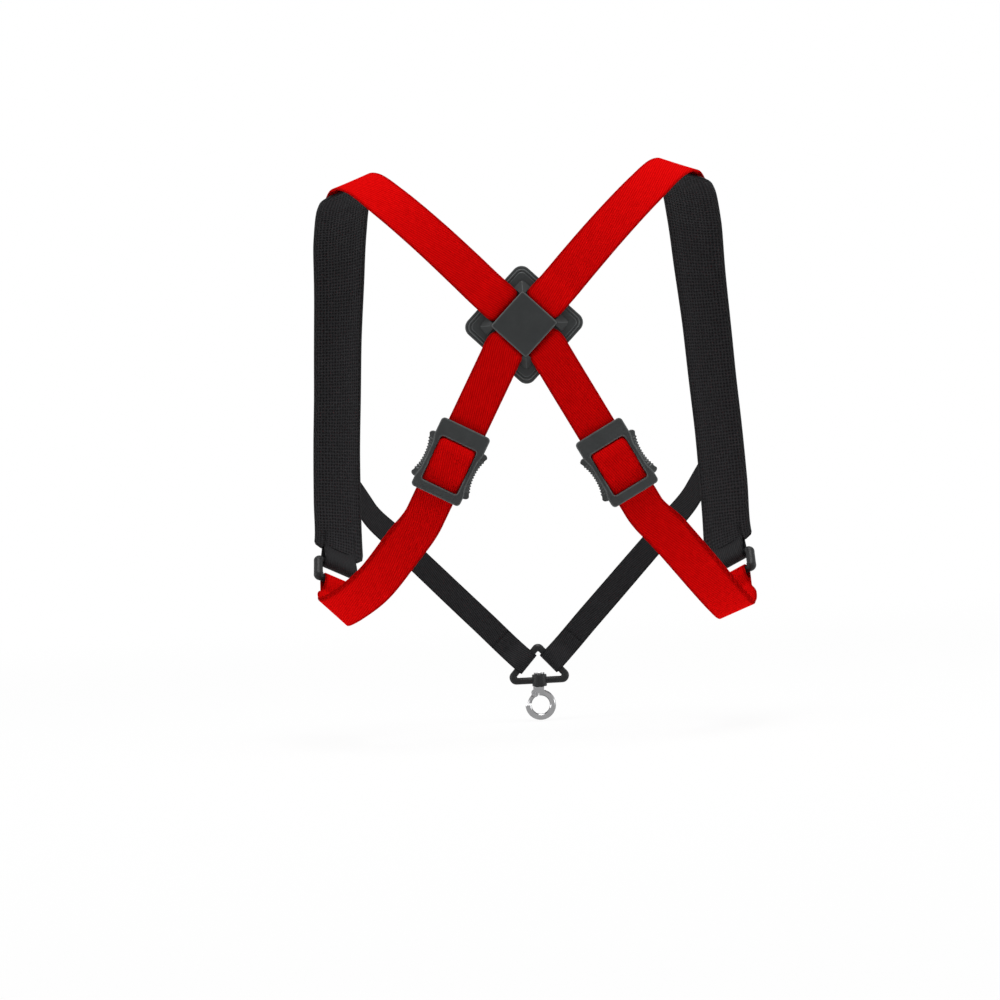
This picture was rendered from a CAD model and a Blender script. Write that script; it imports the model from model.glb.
# %% [markdown]
# # A saxophone shoulder harness
# The harness hangs as it does on a wearer and is seen from behind: two red straps cross at a dark
# diamond plate, pass an adjuster each, and go under the arms to the front pads and the snap hook.
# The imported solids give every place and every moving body. Here each soft solid is replaced by
# woven or padded surfaces, and each moulded piece gets rounded edges.

# %% Load the frame
import math

import bmesh
import bpy
import numpy as np
from mathutils import Matrix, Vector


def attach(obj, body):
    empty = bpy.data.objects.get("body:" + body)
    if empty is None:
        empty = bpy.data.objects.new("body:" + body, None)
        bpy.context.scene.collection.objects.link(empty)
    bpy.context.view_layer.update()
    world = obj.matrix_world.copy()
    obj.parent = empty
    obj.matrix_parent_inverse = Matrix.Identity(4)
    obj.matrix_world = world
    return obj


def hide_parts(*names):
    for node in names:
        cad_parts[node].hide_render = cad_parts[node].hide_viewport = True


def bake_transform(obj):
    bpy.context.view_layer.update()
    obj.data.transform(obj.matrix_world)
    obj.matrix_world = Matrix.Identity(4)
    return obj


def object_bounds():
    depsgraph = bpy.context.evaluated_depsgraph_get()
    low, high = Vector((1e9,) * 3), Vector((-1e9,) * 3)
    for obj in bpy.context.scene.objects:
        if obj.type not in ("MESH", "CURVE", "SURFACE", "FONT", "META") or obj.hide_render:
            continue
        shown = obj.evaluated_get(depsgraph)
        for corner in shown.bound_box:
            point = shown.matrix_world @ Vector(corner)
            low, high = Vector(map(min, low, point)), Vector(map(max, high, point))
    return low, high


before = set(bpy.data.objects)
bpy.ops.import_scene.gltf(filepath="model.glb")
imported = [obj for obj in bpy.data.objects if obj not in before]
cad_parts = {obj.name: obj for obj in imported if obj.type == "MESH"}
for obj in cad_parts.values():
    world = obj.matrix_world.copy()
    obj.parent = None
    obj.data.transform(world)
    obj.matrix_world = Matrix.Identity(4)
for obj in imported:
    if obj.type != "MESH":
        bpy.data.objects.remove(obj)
cad_box = [list(corner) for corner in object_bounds()]
MM = 0.001
LEFT, RIGHT = -1, 1
SIDE_NAME = {LEFT: "left", RIGHT: "right"}

# %% [markdown]
# ## Camera
# The photograph was taken level, from far behind, with the picture turned by three degrees. A long
# lens at 2.2 m gives the same flat perspective.

# %% Camera
scene = bpy.context.scene
scene.view_settings.view_transform = "Standard"
ROLL = math.radians(3)
CAMERA_AT = (-0.0246, -2.2, -0.12864)
LENS, SENSOR_W, SEES_TO = 106.91, 36, 50

camera_data = bpy.data.cameras.new("camera")
camera_data.lens = LENS
camera_data.sensor_width = SENSOR_W
camera_data.clip_end = SEES_TO
camera = bpy.data.objects.new("camera", camera_data)
scene.collection.objects.link(camera)
axes = np.eye(4)
axes[:3, 0] = (math.cos(ROLL), 0, -math.sin(ROLL))
axes[:3, 1] = (math.sin(ROLL), 0, math.cos(ROLL))
axes[:3, 2] = (0, -1, 0)
axes[:3, 3] = CAMERA_AT
camera.matrix_world = Matrix(axes.tolist())
scene.camera = camera
print("camera lens", LENS, "mm")

# %% [markdown]
# ## Node helpers
# A material here is a small graph. These helpers place math nodes and make node groups, so that a
# weave or a grain is built once and used by several materials with its own values.

# %% Node helpers
CLOUD_ROUGH = 0.6


def wire(tree, value, socket):
    """Puts a number, a colour or another node's output on an input socket."""
    if isinstance(value, bpy.types.NodeSocket):
        tree.links.new(value, socket)
    else:
        socket.default_value = value


def calc(tree, operation, *values):
    """One math node: operation on one, two or three values."""
    node = tree.nodes.new("ShaderNodeMath")
    node.operation = operation
    for value, socket in zip(values, node.inputs):
        wire(tree, value, socket)
    return node.outputs[0]


def blend_colors(tree, factor, first, second):
    """Mixes two colours by a factor from 0 to 1. A Mix node keeps its colours on sockets 6 and 7."""
    node = tree.nodes.new("ShaderNodeMix")
    node.data_type = "RGBA"
    for value, number in ((factor, 0), (first, 6), (second, 7)):
        wire(tree, value, node.inputs[number])
    return node.outputs[2]


def soft_step(tree, value, low, high):
    """Runs smoothly from 0 at low to 1 at high."""
    node = tree.nodes.new("ShaderNodeMapRange")
    node.interpolation_type = "SMOOTHSTEP"
    for number, socket in zip((value, low, high, 0.0, 1.0), node.inputs):
        wire(tree, number, socket)
    return node.outputs[0]


def noise(tree, vector, scale, detail):
    """A cloudy value from 0 to 1 that changes over the surface; detail adds finer and finer layers."""
    node = tree.nodes.new("ShaderNodeTexNoise")
    given = {"Vector": vector, "Scale": scale, "Detail": detail, "Roughness": CLOUD_ROUGH}
    for name, value in given.items():
        wire(tree, value, node.inputs[name])
    return node.outputs["Fac"]


print("nodes for sums and noise are ready")

# %% Groups and materials
def new_group(name, inputs, outputs):
    """A shader node group with named sockets; returns it with its input and output nodes."""
    group = bpy.data.node_groups.new(name, "ShaderNodeTree")
    for label, kind, default in inputs:
        socket = group.interface.new_socket(label, in_out="INPUT", socket_type=kind)
        if default is not None:
            socket.default_value = default
    for label, kind in outputs:
        group.interface.new_socket(label, in_out="OUTPUT", socket_type=kind)
    return group, group.nodes.new("NodeGroupInput").outputs, group.nodes.new("NodeGroupOutput").inputs


def use_group(tree, group, **values):
    """Places a node group in a material; underscores in a name stand for spaces."""
    node = tree.nodes.new("ShaderNodeGroup")
    node.node_tree = group
    for name, value in values.items():
        wire(tree, value, node.inputs[name.replace("_", " ")])
    return node.outputs


def new_material(name, **fixed):
    """A material with one Principled BSDF, whose plain numbers are set on its own sockets."""
    material = bpy.data.materials.new(name)
    material.use_nodes = True
    tree = material.node_tree
    shader = tree.nodes["Principled BSDF"]
    for label, value in fixed.items():
        shader.inputs[label.replace("_", " ")].default_value = value
    return material, tree, shader.inputs


print("groups and materials can be made")

# %% What a material reads
def own_uv(tree):
    """The piece's own map, in metres across and along its surface."""
    node = tree.nodes.new("ShaderNodeUVMap")
    node.uv_map = "weave"
    return node.outputs[0]


def own_value(tree, name):
    """A value that was stored on each point of the piece's surface."""
    node = tree.nodes.new("ShaderNodeAttribute")
    node.attribute_name = name
    return node.outputs["Fac"]


def object_place(tree):
    """The place of each point in the frame, in metres."""
    return tree.nodes.new("ShaderNodeTexCoord").outputs["Object"]


def bump(tree, height, distance, strength):
    """Turns a height from 0 to 1 into a bent normal; distance is the real height of 1 in metres."""
    node = tree.nodes.new("ShaderNodeBump")
    for value, name in ((height, "Height"), (distance, "Distance"), (strength, "Strength")):
        wire(tree, value, node.inputs[name])
    return node.outputs[0]


print("helpers for nodes are ready")

# %% [markdown]
# ## Floor
# The harness hangs, so only its hook comes near the floor. A shadow catcher could stand in for a
# floor, but a real pale one also sends light up under the arms. To the camera it is nearly white
# and keeps a soft shadow.

# %% Floor
FLOOR_GAP = 0.001
FLOOR_Z = cad_box[0][2] - FLOOR_GAP
FLOOR_HALF = 6.0
FLOOR_COLOUR = (0.92, 0.92, 0.92, 1)
FLOOR_WHITE, FADE_FROM, FADE_TO = 0.93, 0.6, 2.6


def seen_rays(tree):
    """1 for rays that show the background: from the camera, from a gloss or through glass."""
    path = tree.nodes.new("ShaderNodeLightPath")
    gloss = calc(tree, "MAXIMUM", path.outputs["Is Glossy Ray"], path.outputs["Is Transmission Ray"])
    return calc(tree, "MAXIMUM", path.outputs["Is Camera Ray"], gloss)


def floor_material():
    """A pale floor that camera rays see as mostly white, with the rest left for its shadow. Far from the
    middle it is all white, so that no horizon shows."""
    material = bpy.data.materials.new("pale_floor")
    material.use_nodes = True
    tree = material.node_tree
    tree.nodes.remove(tree.nodes["Principled BSDF"])
    pale = tree.nodes.new("ShaderNodeBsdfDiffuse")
    pale.inputs["Color"].default_value = FLOOR_COLOUR
    glow = tree.nodes.new("ShaderNodeEmission")
    mix = tree.nodes.new("ShaderNodeMixShader")
    radius = tree.nodes.new("ShaderNodeVectorMath")
    radius.operation = "LENGTH"
    wire(tree, object_place(tree), radius.inputs[0])
    far = soft_step(tree, radius.outputs["Value"], FADE_FROM, FADE_TO)
    white = calc(tree, "MULTIPLY_ADD", far, 1 - FLOOR_WHITE, FLOOR_WHITE)
    wire(tree, calc(tree, "MULTIPLY", seen_rays(tree), white), mix.inputs[0])
    tree.links.new(pale.outputs[0], mix.inputs[1])
    tree.links.new(glow.outputs[0], mix.inputs[2])
    tree.links.new(mix.outputs[0], tree.nodes["Material Output"].inputs["Surface"])
    return material


corners = [(x * FLOOR_HALF, y * FLOOR_HALF, FLOOR_Z) for x, y in ((-1, -1), (1, -1), (1, 1), (-1, 1))]
floor_mesh = bpy.data.meshes.new("floor")
floor_mesh.from_pydata(corners, [], [(0, 1, 2, 3)])
floor_mesh.materials.append(floor_material())
floor = bpy.data.objects.new("floor", floor_mesh)
scene.collection.objects.link(floor)
print("floor at", round(FLOOR_Z, 4), "m")

# %% [markdown]
# ## Light
# One broad lamp hangs above the harness and lights the straps where they lean back over the
# shoulders. Two weak lamps at the sides and one in front only lift the shade. The world is white
# for the camera and for reflections, and much darker as a light. A picture of a studio could light
# the scene too, but a few lamps are easier to follow.

# %% World and lamps
WORLD_LIGHT = 0.18
world = bpy.data.worlds.new("studio")
world.use_nodes = True
scene.world = world
sky, tree = world.node_tree.nodes["Background"], world.node_tree
sky.inputs["Color"].default_value = (1, 1, 1, 1)
strength = calc(tree, "MULTIPLY_ADD", seen_rays(tree), 1 - WORLD_LIGHT, WORLD_LIGHT)
wire(tree, strength, sky.inputs["Strength"])

# Each lamp: name, place in metres, width in metres, watts.
LAMPS = [("key", (0.05, -0.3, 2.25), 1.5, 58.0),
    ("left_fill", (-2.2, -0.3, -0.1), 0.9, 16.0),
    ("right_fill", (2.2, -0.3, -0.1), 0.9, 16.0),
    ("front_fill", (0.0, 2.4, 0.6), 1.4, 7.0)]
AIM = np.array([0, 0.05, -0.09])
for name, place, size, watts in LAMPS:
    lamp_data = bpy.data.lights.new(name, "AREA")
    lamp_data.shape, lamp_data.size, lamp_data.energy = "DISK", size, watts
    lamp = bpy.data.objects.new(name, lamp_data)
    scene.collection.objects.link(lamp)
    back = np.array(place) - AIM
    back /= np.linalg.norm(back)
    right = np.cross((0, 0, 1), back)
    right /= np.linalg.norm(right)
    turned = np.eye(4)
    turned[:3, :3] = np.stack([right, np.cross(back, right), back], 1)
    turned[:3, 3] = place
    lamp.matrix_world = Matrix(turned.tolist())
print("lamps:", len(LAMPS))

# %% [markdown]
# ## Weave and grain
# The webbing is a smooth fine twill: its yarns run along the strap at a small slant and are crossed
# by finer rows. Two raised cosines of the strap's own map make both. An image could do the same,
# but a formula stays sharp at any size. The moulded pieces and the steel share a fine grain. Both
# are node groups, because several finishes use them.

# %% Twill group
VECTOR, FLOAT = "NodeSocketVector", "NodeSocketFloat"
TURN = 2 * math.pi
PER_METRE = 1000.0
YARN_PITCH, YARN_SLANT, ROW_PITCH, ROW_SLANT, ROW_DEPTH = 1.7, 0.23, 1.3, 0.33, 0.12
STREAK_ACROSS, STREAK_ALONG = 0.9, 0.12


def raised_cosine(tree, cycles):
    """Runs between 0 and 1 once for each whole number: half of 1 + cos(2 pi * cycles)."""
    return calc(tree, "MULTIPLY_ADD", calc(tree, "COSINE", calc(tree, "MULTIPLY", cycles, TURN)), 0.5, 0.5)


def twill_group():
    """Fine twill: yarns that run along the strap at a small slant, crossed by rows of finer ones.
    Height is a raised cosine of (width + slant * length) / pitch, cut a little by one of
    (length + row slant * width) / row."""
    takes = [("Map", VECTOR, None), ("Pitch", FLOAT, YARN_PITCH), ("Slant", FLOAT, YARN_SLANT),
        ("Row", FLOAT, ROW_PITCH)]
    group, given, out = new_group("twill", takes, [("Height", FLOAT), ("Streak", FLOAT)])
    split = group.nodes.new("ShaderNodeSeparateXYZ")
    group.links.new(given["Map"], split.inputs[0])
    across, along = (calc(group, "MULTIPLY", split.outputs[k], PER_METRE) for k in (0, 1))
    slanted = calc(group, "MULTIPLY_ADD", along, given["Slant"], across)
    crossing = calc(group, "MULTIPLY_ADD", across, ROW_SLANT, along)
    yarn = raised_cosine(group, calc(group, "DIVIDE", slanted, given["Pitch"]))
    row = raised_cosine(group, calc(group, "DIVIDE", crossing, given["Row"]))
    height = calc(group, "MULTIPLY", yarn, calc(group, "MULTIPLY_ADD", row, ROW_DEPTH, 1 - ROW_DEPTH))
    stretched = group.nodes.new("ShaderNodeCombineXYZ")
    wire(group, calc(group, "MULTIPLY", across, STREAK_ACROSS), stretched.inputs[0])
    wire(group, calc(group, "MULTIPLY", along, STREAK_ALONG), stretched.inputs[1])
    wire(group, height, out["Height"])
    wire(group, noise(group, stretched.outputs[0], 1.0, 3.0), out["Streak"])
    return group


TWILL = twill_group()
print("twill: yarns every", YARN_PITCH, "mm")

# %% Grain group
GRAIN_SIZE, CLOUD_SCALE = 0.5, 90.0


def grain_group():
    """Fine grain of a moulded surface: cloudy noise of the grain's size, and a wide one for uneven gloss."""
    group, given, out = new_group("moulded grain", [("Place", VECTOR, None), ("Size", FLOAT, GRAIN_SIZE)],
        [("Height", FLOAT), ("Cloud", FLOAT)])
    scale = calc(group, "DIVIDE", PER_METRE, given["Size"])
    wire(group, noise(group, given["Place"], scale, 2.0), out["Height"])
    wire(group, noise(group, given["Place"], CLOUD_SCALE, 3.0), out["Cloud"])
    return group


GRAIN = grain_group()
print("node groups:", [group.name for group in bpy.data.node_groups])

# %% [markdown]
# ## Webbing finish
# Webbing and thread are dark between the yarns and bright on them, with darker woven edges, and a
# sheen makes the red straps glow where they turn away. A picture of cloth could be laid on them,
# but it would blur close up. The twill group stays sharp and follows each strap's own map. The
# surfaces store where their edges are in a value named rim.

# %% Webbing finish
BLACKENED = (0, 0, 0, 1)
EDGE_DARK, SHEEN_ROUGH, WEAVE_HEIGHT, WEAVE_BUMP, WEAVE_GLOSS = 0.45, 0.45, 0.00012, 0.3, -0.12
STREAK_SHARE, TONE_LOW, TONE_HIGH = 0.6, 0.1, 0.9


def webbing_material(name, dark, bright, pitch, gloss, rough, sheen=0.0):
    """Woven webbing: dark between the yarns, bright on them, with long streaks and darker woven edges. Its
    smooth yarns shine in their own colour where they are seen from the side."""
    material, tree, shader = new_material(name, Specular_IOR_Level=gloss, Sheen_Weight=sheen,
        Sheen_Roughness=SHEEN_ROUGH, Sheen_Tint=bright)
    weave = use_group(tree, TWILL, Map=own_uv(tree), Pitch=pitch)
    yarns = calc(tree, "MULTIPLY", weave["Height"], 1 - STREAK_SHARE)
    tone = calc(tree, "MULTIPLY_ADD", weave["Streak"], STREAK_SHARE, yarns)
    colour = blend_colors(tree, soft_step(tree, tone, TONE_LOW, TONE_HIGH), dark, bright)
    rim = calc(tree, "MULTIPLY", own_value(tree, "rim"), EDGE_DARK)
    wire(tree, blend_colors(tree, rim, colour, BLACKENED), shader["Base Color"])
    wire(tree, calc(tree, "MULTIPLY_ADD", weave["Height"], WEAVE_GLOSS, rough), shader["Roughness"])
    wire(tree, bump(tree, weave["Height"], WEAVE_HEIGHT, WEAVE_BUMP), shader["Normal"])
    return material


print("webbing finish is ready")

# %% [markdown]
# ## Plastic finish
# The plate, the adjusters and the bars are matt mouldings with a fine grain, and their edges have
# gone a little pale. Blender can find edges by itself with the Pointiness value, but that depends
# on how dense a mesh is. The stored rim value puts the wear just where it belongs.

# %% Plastic finish
PLASTIC_GRAIN, GRAIN_HEIGHT, GRAIN_BUMP = 0.45, 0.00012, 0.35
TINT, WEAR, WEAR_CLOUD, PLASTIC_UNEVEN = 0.12, 0.3, 0.5, 0.2


def plastic_material(name, base, pale, rough, gloss):
    """Matt moulded plastic with fine grain, uneven gloss and edges worn pale."""
    material, tree, shader = new_material(name, Specular_IOR_Level=gloss)
    grain = use_group(tree, GRAIN, Place=object_place(tree), Size=PLASTIC_GRAIN)
    tint = blend_colors(tree, calc(tree, "MULTIPLY", grain["Cloud"], TINT), base, pale)
    uneven = calc(tree, "MULTIPLY_ADD", grain["Cloud"], WEAR_CLOUD, WEAR)
    wear = calc(tree, "MULTIPLY", own_value(tree, "rim"), uneven)
    wire(tree, blend_colors(tree, wear, tint, pale), shader["Base Color"])
    wire(tree, calc(tree, "MULTIPLY_ADD", grain["Cloud"], PLASTIC_UNEVEN, rough), shader["Roughness"])
    wire(tree, bump(tree, grain["Height"], GRAIN_HEIGHT, GRAIN_BUMP), shader["Normal"])
    return material


print("plastic finish: grain of", PLASTIC_GRAIN, "mm")

# %% [markdown]
# ## Pad fabric
# The pads are covered with a black fabric of small round cells, finer on the face than on the
# lining. Holes that are modelled one by one would take millions of faces. A Voronoi texture with
# little randomness gives even rows of cells, and its distance gives their depth.

# %% Pad fabric
CELL_LOOSE, HOLE_FROM, HOLE_TO, CELL_BUMP = 0.15, 0.1, 0.55, 0.6
FABRIC_CLOUD, FABRIC_TONE, FABRIC_ROUGH, FABRIC_UNEVEN, FABRIC_GLOSS = 60.0, 0.6, 0.72, 0.15, 0.1


def knit_material(name, dark, bright, cell, depth):
    """Padded fabric: rows of small round cells, each lower in the middle, over a cloudy black.
    cell is their pitch in millimetres and depth their real depth in metres."""
    material, tree, shader = new_material(name, Specular_IOR_Level=FABRIC_GLOSS)
    cells = tree.nodes.new("ShaderNodeTexVoronoi")
    cells.inputs["Randomness"].default_value = CELL_LOOSE
    wire(tree, own_uv(tree), cells.inputs["Vector"])
    wire(tree, PER_METRE / cell, cells.inputs["Scale"])
    hole = soft_step(tree, cells.outputs["Distance"], HOLE_FROM, HOLE_TO)
    cloud = noise(tree, object_place(tree), FABRIC_CLOUD, 3.0)
    tone = calc(tree, "MULTIPLY", hole, calc(tree, "MULTIPLY_ADD", cloud, FABRIC_TONE, FABRIC_TONE))
    wire(tree, blend_colors(tree, tone, dark, bright), shader["Base Color"])
    wire(tree, calc(tree, "MULTIPLY_ADD", cloud, FABRIC_UNEVEN, FABRIC_ROUGH), shader["Roughness"])
    wire(tree, bump(tree, hole, depth, CELL_BUMP), shader["Normal"])
    return material


print("pad fabric is ready")

# %% [markdown]
# ## Steel finish
# The hook is plated steel: plain metal, with an uneven polish that breaks its reflections a little.
# Scratches could be drawn on it, but a cloudy change of roughness is what plating really shows.

# %% Steel finish
STEEL_DARK, STEEL_BRIGHT = (0.24, 0.24, 0.245, 1), (0.36, 0.36, 0.365, 1)
STEEL_GRAIN, STEEL_ROUGH, STEEL_UNEVEN, STEEL_HEIGHT, STEEL_BUMP = 0.25, 0.14, 0.18, 0.00003, 0.2


def steel_material(name):
    """Plated steel: metal whose polish is a little uneven."""
    material, tree, shader = new_material(name, Metallic=1.0)
    grain = use_group(tree, GRAIN, Place=object_place(tree), Size=STEEL_GRAIN)
    wire(tree, blend_colors(tree, grain["Cloud"], STEEL_DARK, STEEL_BRIGHT), shader["Base Color"])
    wire(tree, calc(tree, "MULTIPLY_ADD", grain["Cloud"], STEEL_UNEVEN, STEEL_ROUGH), shader["Roughness"])
    wire(tree, bump(tree, grain["Height"], STEEL_HEIGHT, STEEL_BUMP), shader["Normal"])
    return material


print("steel finish: grain of", STEEL_GRAIN, "mm")

# %% [markdown]
# ## All finishes
# One function makes each kind of finish, so that two colours of the same stuff can't drift apart.
# A material for every piece would be easy to write too, but hard to keep alike.

# %% All finishes
RED = webbing_material("red_webbing", dark=(0.42, 0.0006, 0.0008, 1), bright=(0.76, 0.004, 0.004, 1),
    pitch=YARN_PITCH, gloss=0.0, rough=0.62, sheen=1.0)
BLACK = webbing_material("black_webbing", dark=(0.004, 0.004, 0.0045, 1), bright=(0.026, 0.026, 0.028, 1),
    pitch=YARN_PITCH, gloss=0.1, rough=0.7)
PLASTIC = plastic_material("black_plastic", base=(0.014, 0.016, 0.0165, 1), pale=(0.15, 0.16, 0.16, 1),
    rough=0.34, gloss=0.3)
BAR_PLASTIC = plastic_material("bar_plastic", base=(0.005, 0.0055, 0.006, 1), pale=(0.06, 0.063, 0.064, 1),
    rough=0.36, gloss=0.22)
FACE_FABRIC = knit_material("pad_face_fabric", dark=(0.004, 0.004, 0.0045, 1), bright=(0.02, 0.02, 0.022, 1),
    cell=1.1, depth=0.0002)
LINING_FABRIC = knit_material("pad_lining_fabric", dark=(0.003, 0.003, 0.0035, 1),
    bright=(0.028, 0.028, 0.03, 1), cell=2.6, depth=0.0006)
STEEL = steel_material("plated_steel")
THREAD_PITCH = 0.6
RED_THREAD = webbing_material("red_thread", dark=(0.4, 0.0008, 0.001, 1), bright=(0.75, 0.004, 0.004, 1),
    pitch=THREAD_PITCH, gloss=0.05, rough=0.5)
BLACK_THREAD = webbing_material("black_thread", dark=(0.012, 0.012, 0.012, 1), bright=(0.04, 0.04, 0.042, 1),
    pitch=THREAD_PITCH, gloss=0.1, rough=0.5)
print("materials:", len(bpy.data.materials))

# %% [markdown]
# ## Surfaces from grids
# Every new piece is one or more grids of points. A grid closes on itself around its second
# direction, as a strap's section does, and along its first direction it either closes too or gets a
# cap on both ends. A cap is a fan of triangles round its middle. Points come as whole arrays in
# millimetres, and the faces are index arithmetic on the grid. The alternative, modelling each piece
# by hand with operators, would be longer and harder to change.

# %% Vector helpers
def unit(v):
    """Vectors of length one."""
    return v / np.linalg.norm(v, axis=-1, keepdims=True)


def square_to(n, t):
    """The part of n that is square to t, of length one."""
    return unit(n - t * (n * t).sum(-1, keepdims=True))


def ease(u):
    """Runs from 0 to 1 with no slope at either end: 3 u^2 - 2 u^3."""
    u = np.clip(u, 0, 1)
    return u * u * (3 - 2 * u)


print("helpers for vectors are ready")

# %% Closed surfaces
def closed_part(points, loop=False, map_uv=None, rim=0.0):
    """A closed surface from a grid. points is (n, m, 3): the second direction closes on itself, the first
    one closes too if loop is set, or else ends in two caps. map_uv is (n, m + 1, 2), and rim is a value for
    each point. Faces point outwards: all are turned round if the volume inside them, which is a sum of
    corner products over their triangles, comes out negative."""
    n, m = points.shape[:2]
    rows, cols = np.arange(n if loop else n - 1)[:, None], np.arange(m)[None, :]
    below, right = (rows + 1) % n, (cols + 1) % m
    quads = np.stack([rows * m + cols, rows * m + right, below * m + right, below * m + cols], -1)
    quads = quads.reshape(-1, 4)
    if map_uv is None:
        uv = np.zeros((len(quads), 4, 2))
    else:
        r, c = (rows + 0 * cols).ravel(), (cols + 0 * rows).ravel()
        down = np.minimum(r + 1, n - 1)
        uv = np.stack([map_uv[r, c], map_uv[r, c + 1], map_uv[down, c + 1], map_uv[down, c]], 1)
    flat, values = points.reshape(-1, 3), np.broadcast_to(rim, (n, m)).ravel()
    fans = np.zeros((0, 3), int)
    if not loop:
        first, last = np.arange(m), (n - 1) * m + np.arange(m)
        fans = np.vstack([np.stack([np.roll(first, -1), first, np.full(m, n * m)], 1),
            np.stack([last, np.roll(last, -1), np.full(m, n * m + 1)], 1)])
        flat = np.vstack([flat, points[[0, -1]].mean(1)])
        values = np.append(values, [values[first].mean(), values[last].mean()])
    a, b, c = np.moveaxis(flat[np.vstack([quads[:, :3], quads[:, [2, 3, 0]], fans])], 1, 0)
    if (np.cross(a, b) * c).sum() < 0:
        quads, uv, fans = quads[:, ::-1], uv[:, ::-1], fans[:, ::-1]
    return {"points": flat, "quads": quads, "fans": fans, "uv": uv, "rim": values}


print("closed surfaces can be made")

# %% Pieces
def make_piece(name, parts, finishes, sharp=40):
    """Joins closed parts into one mesh object at the origin, with its map, its rim values and its finishes.
    Caps are shaded flat, and edges that turn by more than the angle sharp, in degrees, stay sharp."""
    start, faces, uv, smooth = 0, [], [], []
    for p in parts:
        faces += (p["quads"] + start).tolist() + (p["fans"] + start).tolist()
        uv += [p["uv"].reshape(-1, 2), np.zeros((3 * len(p["fans"]), 2))]
        smooth += [True] * len(p["quads"]) + [False] * len(p["fans"])
        start += len(p["points"])
    mesh = bpy.data.meshes.new(name)
    mesh.from_pydata((np.vstack([p["points"] for p in parts]) * MM).tolist(), [], faces)
    layer = mesh.uv_layers.new(name="weave")
    layer.data.foreach_set("uv", np.vstack(uv).astype(np.float32).ravel())
    rim = mesh.attributes.new("rim", "FLOAT", "POINT")
    rim.data.foreach_set("value", np.concatenate([p["rim"] for p in parts]).astype(np.float32))
    for finish in finishes:
        mesh.materials.append(finish)
    mesh.polygons.foreach_set("use_smooth", np.array(smooth))
    mesh.set_sharp_from_angle(angle=math.radians(sharp))
    mesh.update()
    piece = bpy.data.objects.new(name, mesh)
    scene.collection.objects.link(piece)
    return piece


def on_body(piece, body, slot, *nodes):
    """Rides a finished piece on its body, in place of its solids. A piece between two bodies is given none
    here and is blended later."""
    if nodes:
        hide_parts(*nodes)
    if body:
        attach(piece, body)
    return piece


print("pieces can be made and put on bodies")

# %% [markdown]
# ## The routes of the webbing
# Each strap follows a smooth curve through a few knots, each with a point and the direction that
# its face looks to. Between two knots the curve is a cubic with given directions at both ends. The
# knots repeat those of the solids, so that the webbing lies where they are. Beside the cover the
# strap is drawn together and swells up a little, as webbing does at a tight slot. A Blender curve
# with a bevel could carry the strap too, but its twist is harder to hold.

# %% Sizes along the straps
STRAP_W, STRAP_T, GATHER = 30.0, 1.4, 4.0
FIT = 0.3
BASE_T, BASE_MARGIN, POST_W, SLOT_GAP, COVER_LIP = 3.0, 15.5, 3.6, 0.6, 0.4
SLOT_W = STRAP_W - GATHER
COVER_HALF = SLOT_W / 2 + SLOT_GAP + POST_W + COVER_LIP
BASE_HALF = COVER_HALF + BASE_MARGIN
UNDER_Y = -(BASE_T + FIT + STRAP_T / 2)
OVER_Y = UNDER_Y - STRAP_T - FIT
LAYER = STRAP_T + FIT
DIAGONAL = math.sqrt(0.5)

LOWER_FROM, LOWER_DIR = np.array([12.4, 0, -11.4]), np.array([0.475, 0.075, -0.877])
LOWER_RUN = unit(LOWER_DIR)
LOWER_OUT = square_to(np.array([0, -1.0, 0]), LOWER_RUN)
RIM_GAP, LEAD, STRAIGHT_TO, CLOSE_UP = 1.0, 6.0, 141.0, 18.0
RIM_AT = (BASE_HALF + RIM_GAP - COVER_HALF) * math.sqrt(2) / (LOWER_DIR[0] - LOWER_DIR[2])
ADJUSTER_AT = {LEFT: 99.0, RIGHT: 107.0}
OVERLAP = 28.0

LOOP_BAR_R, LOOP_SIDE_R, LOOP_OPEN, LOOP_SIDE, LOOP_LEAD = 2.8, 3.6, 12.0, 0.8, 13.0
LOOP_MID = {LEFT: np.array([155, 148, -182.0]), RIGHT: np.array([155, 148, -192.5])}
LOOP_UP = unit(np.array([0, 0.66, 0.75]))
LOOP_OUT = square_to(np.array([0.62, 0.59, -0.52]), LOOP_UP)
LOOP_H = LOOP_OPEN / 2 + LOOP_BAR_R
LOOP_HALF = STRAP_W / 2 + LOOP_SIDE + LOOP_SIDE_R
LOOP_WRAP = LOOP_BAR_R + FIT + STRAP_T / 2

PAD_W, PAD_CORE_T, PAD_SKIN_T, PAD_IN, PAD_HEM = 44.0, 5.0, 0.9, 0.25, 3.0
PAD_T = PAD_CORE_T + 2 * (PAD_SKIN_T + PAD_IN)
PAD_DROP = STRAP_T / 2 + FIT + PAD_T / 2
TAB_IN, TAB_OUT, TAB_MID = 20.0, 14.0, PAD_CORE_T / 2 - STRAP_T / 2
# The strap starts at the first of these knots, and the pad ends at the second: it is sewn on between.
SEWN_KNOT, PAD_KNOT = 7, 8
print("strap", STRAP_W, "mm, plate", round(2 * BASE_HALF, 1), "mm, pad", PAD_W, "mm wide")

# %% Knots
def to_side(p, side):
    """Points or vectors of the right side, mirrored if the side is the left one."""
    return np.asarray(p, float) * np.array([side, 1.0, 1.0])


def lower_point(s):
    """A point of the straight lower strap on the right side, at s along it from the cover."""
    return np.array([LOWER_FROM[0] + LOWER_DIR[0] * s, UNDER_Y + LOWER_DIR[1] * (s - RIM_AT),
        LOWER_FROM[2] + LOWER_DIR[2] * s])


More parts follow.
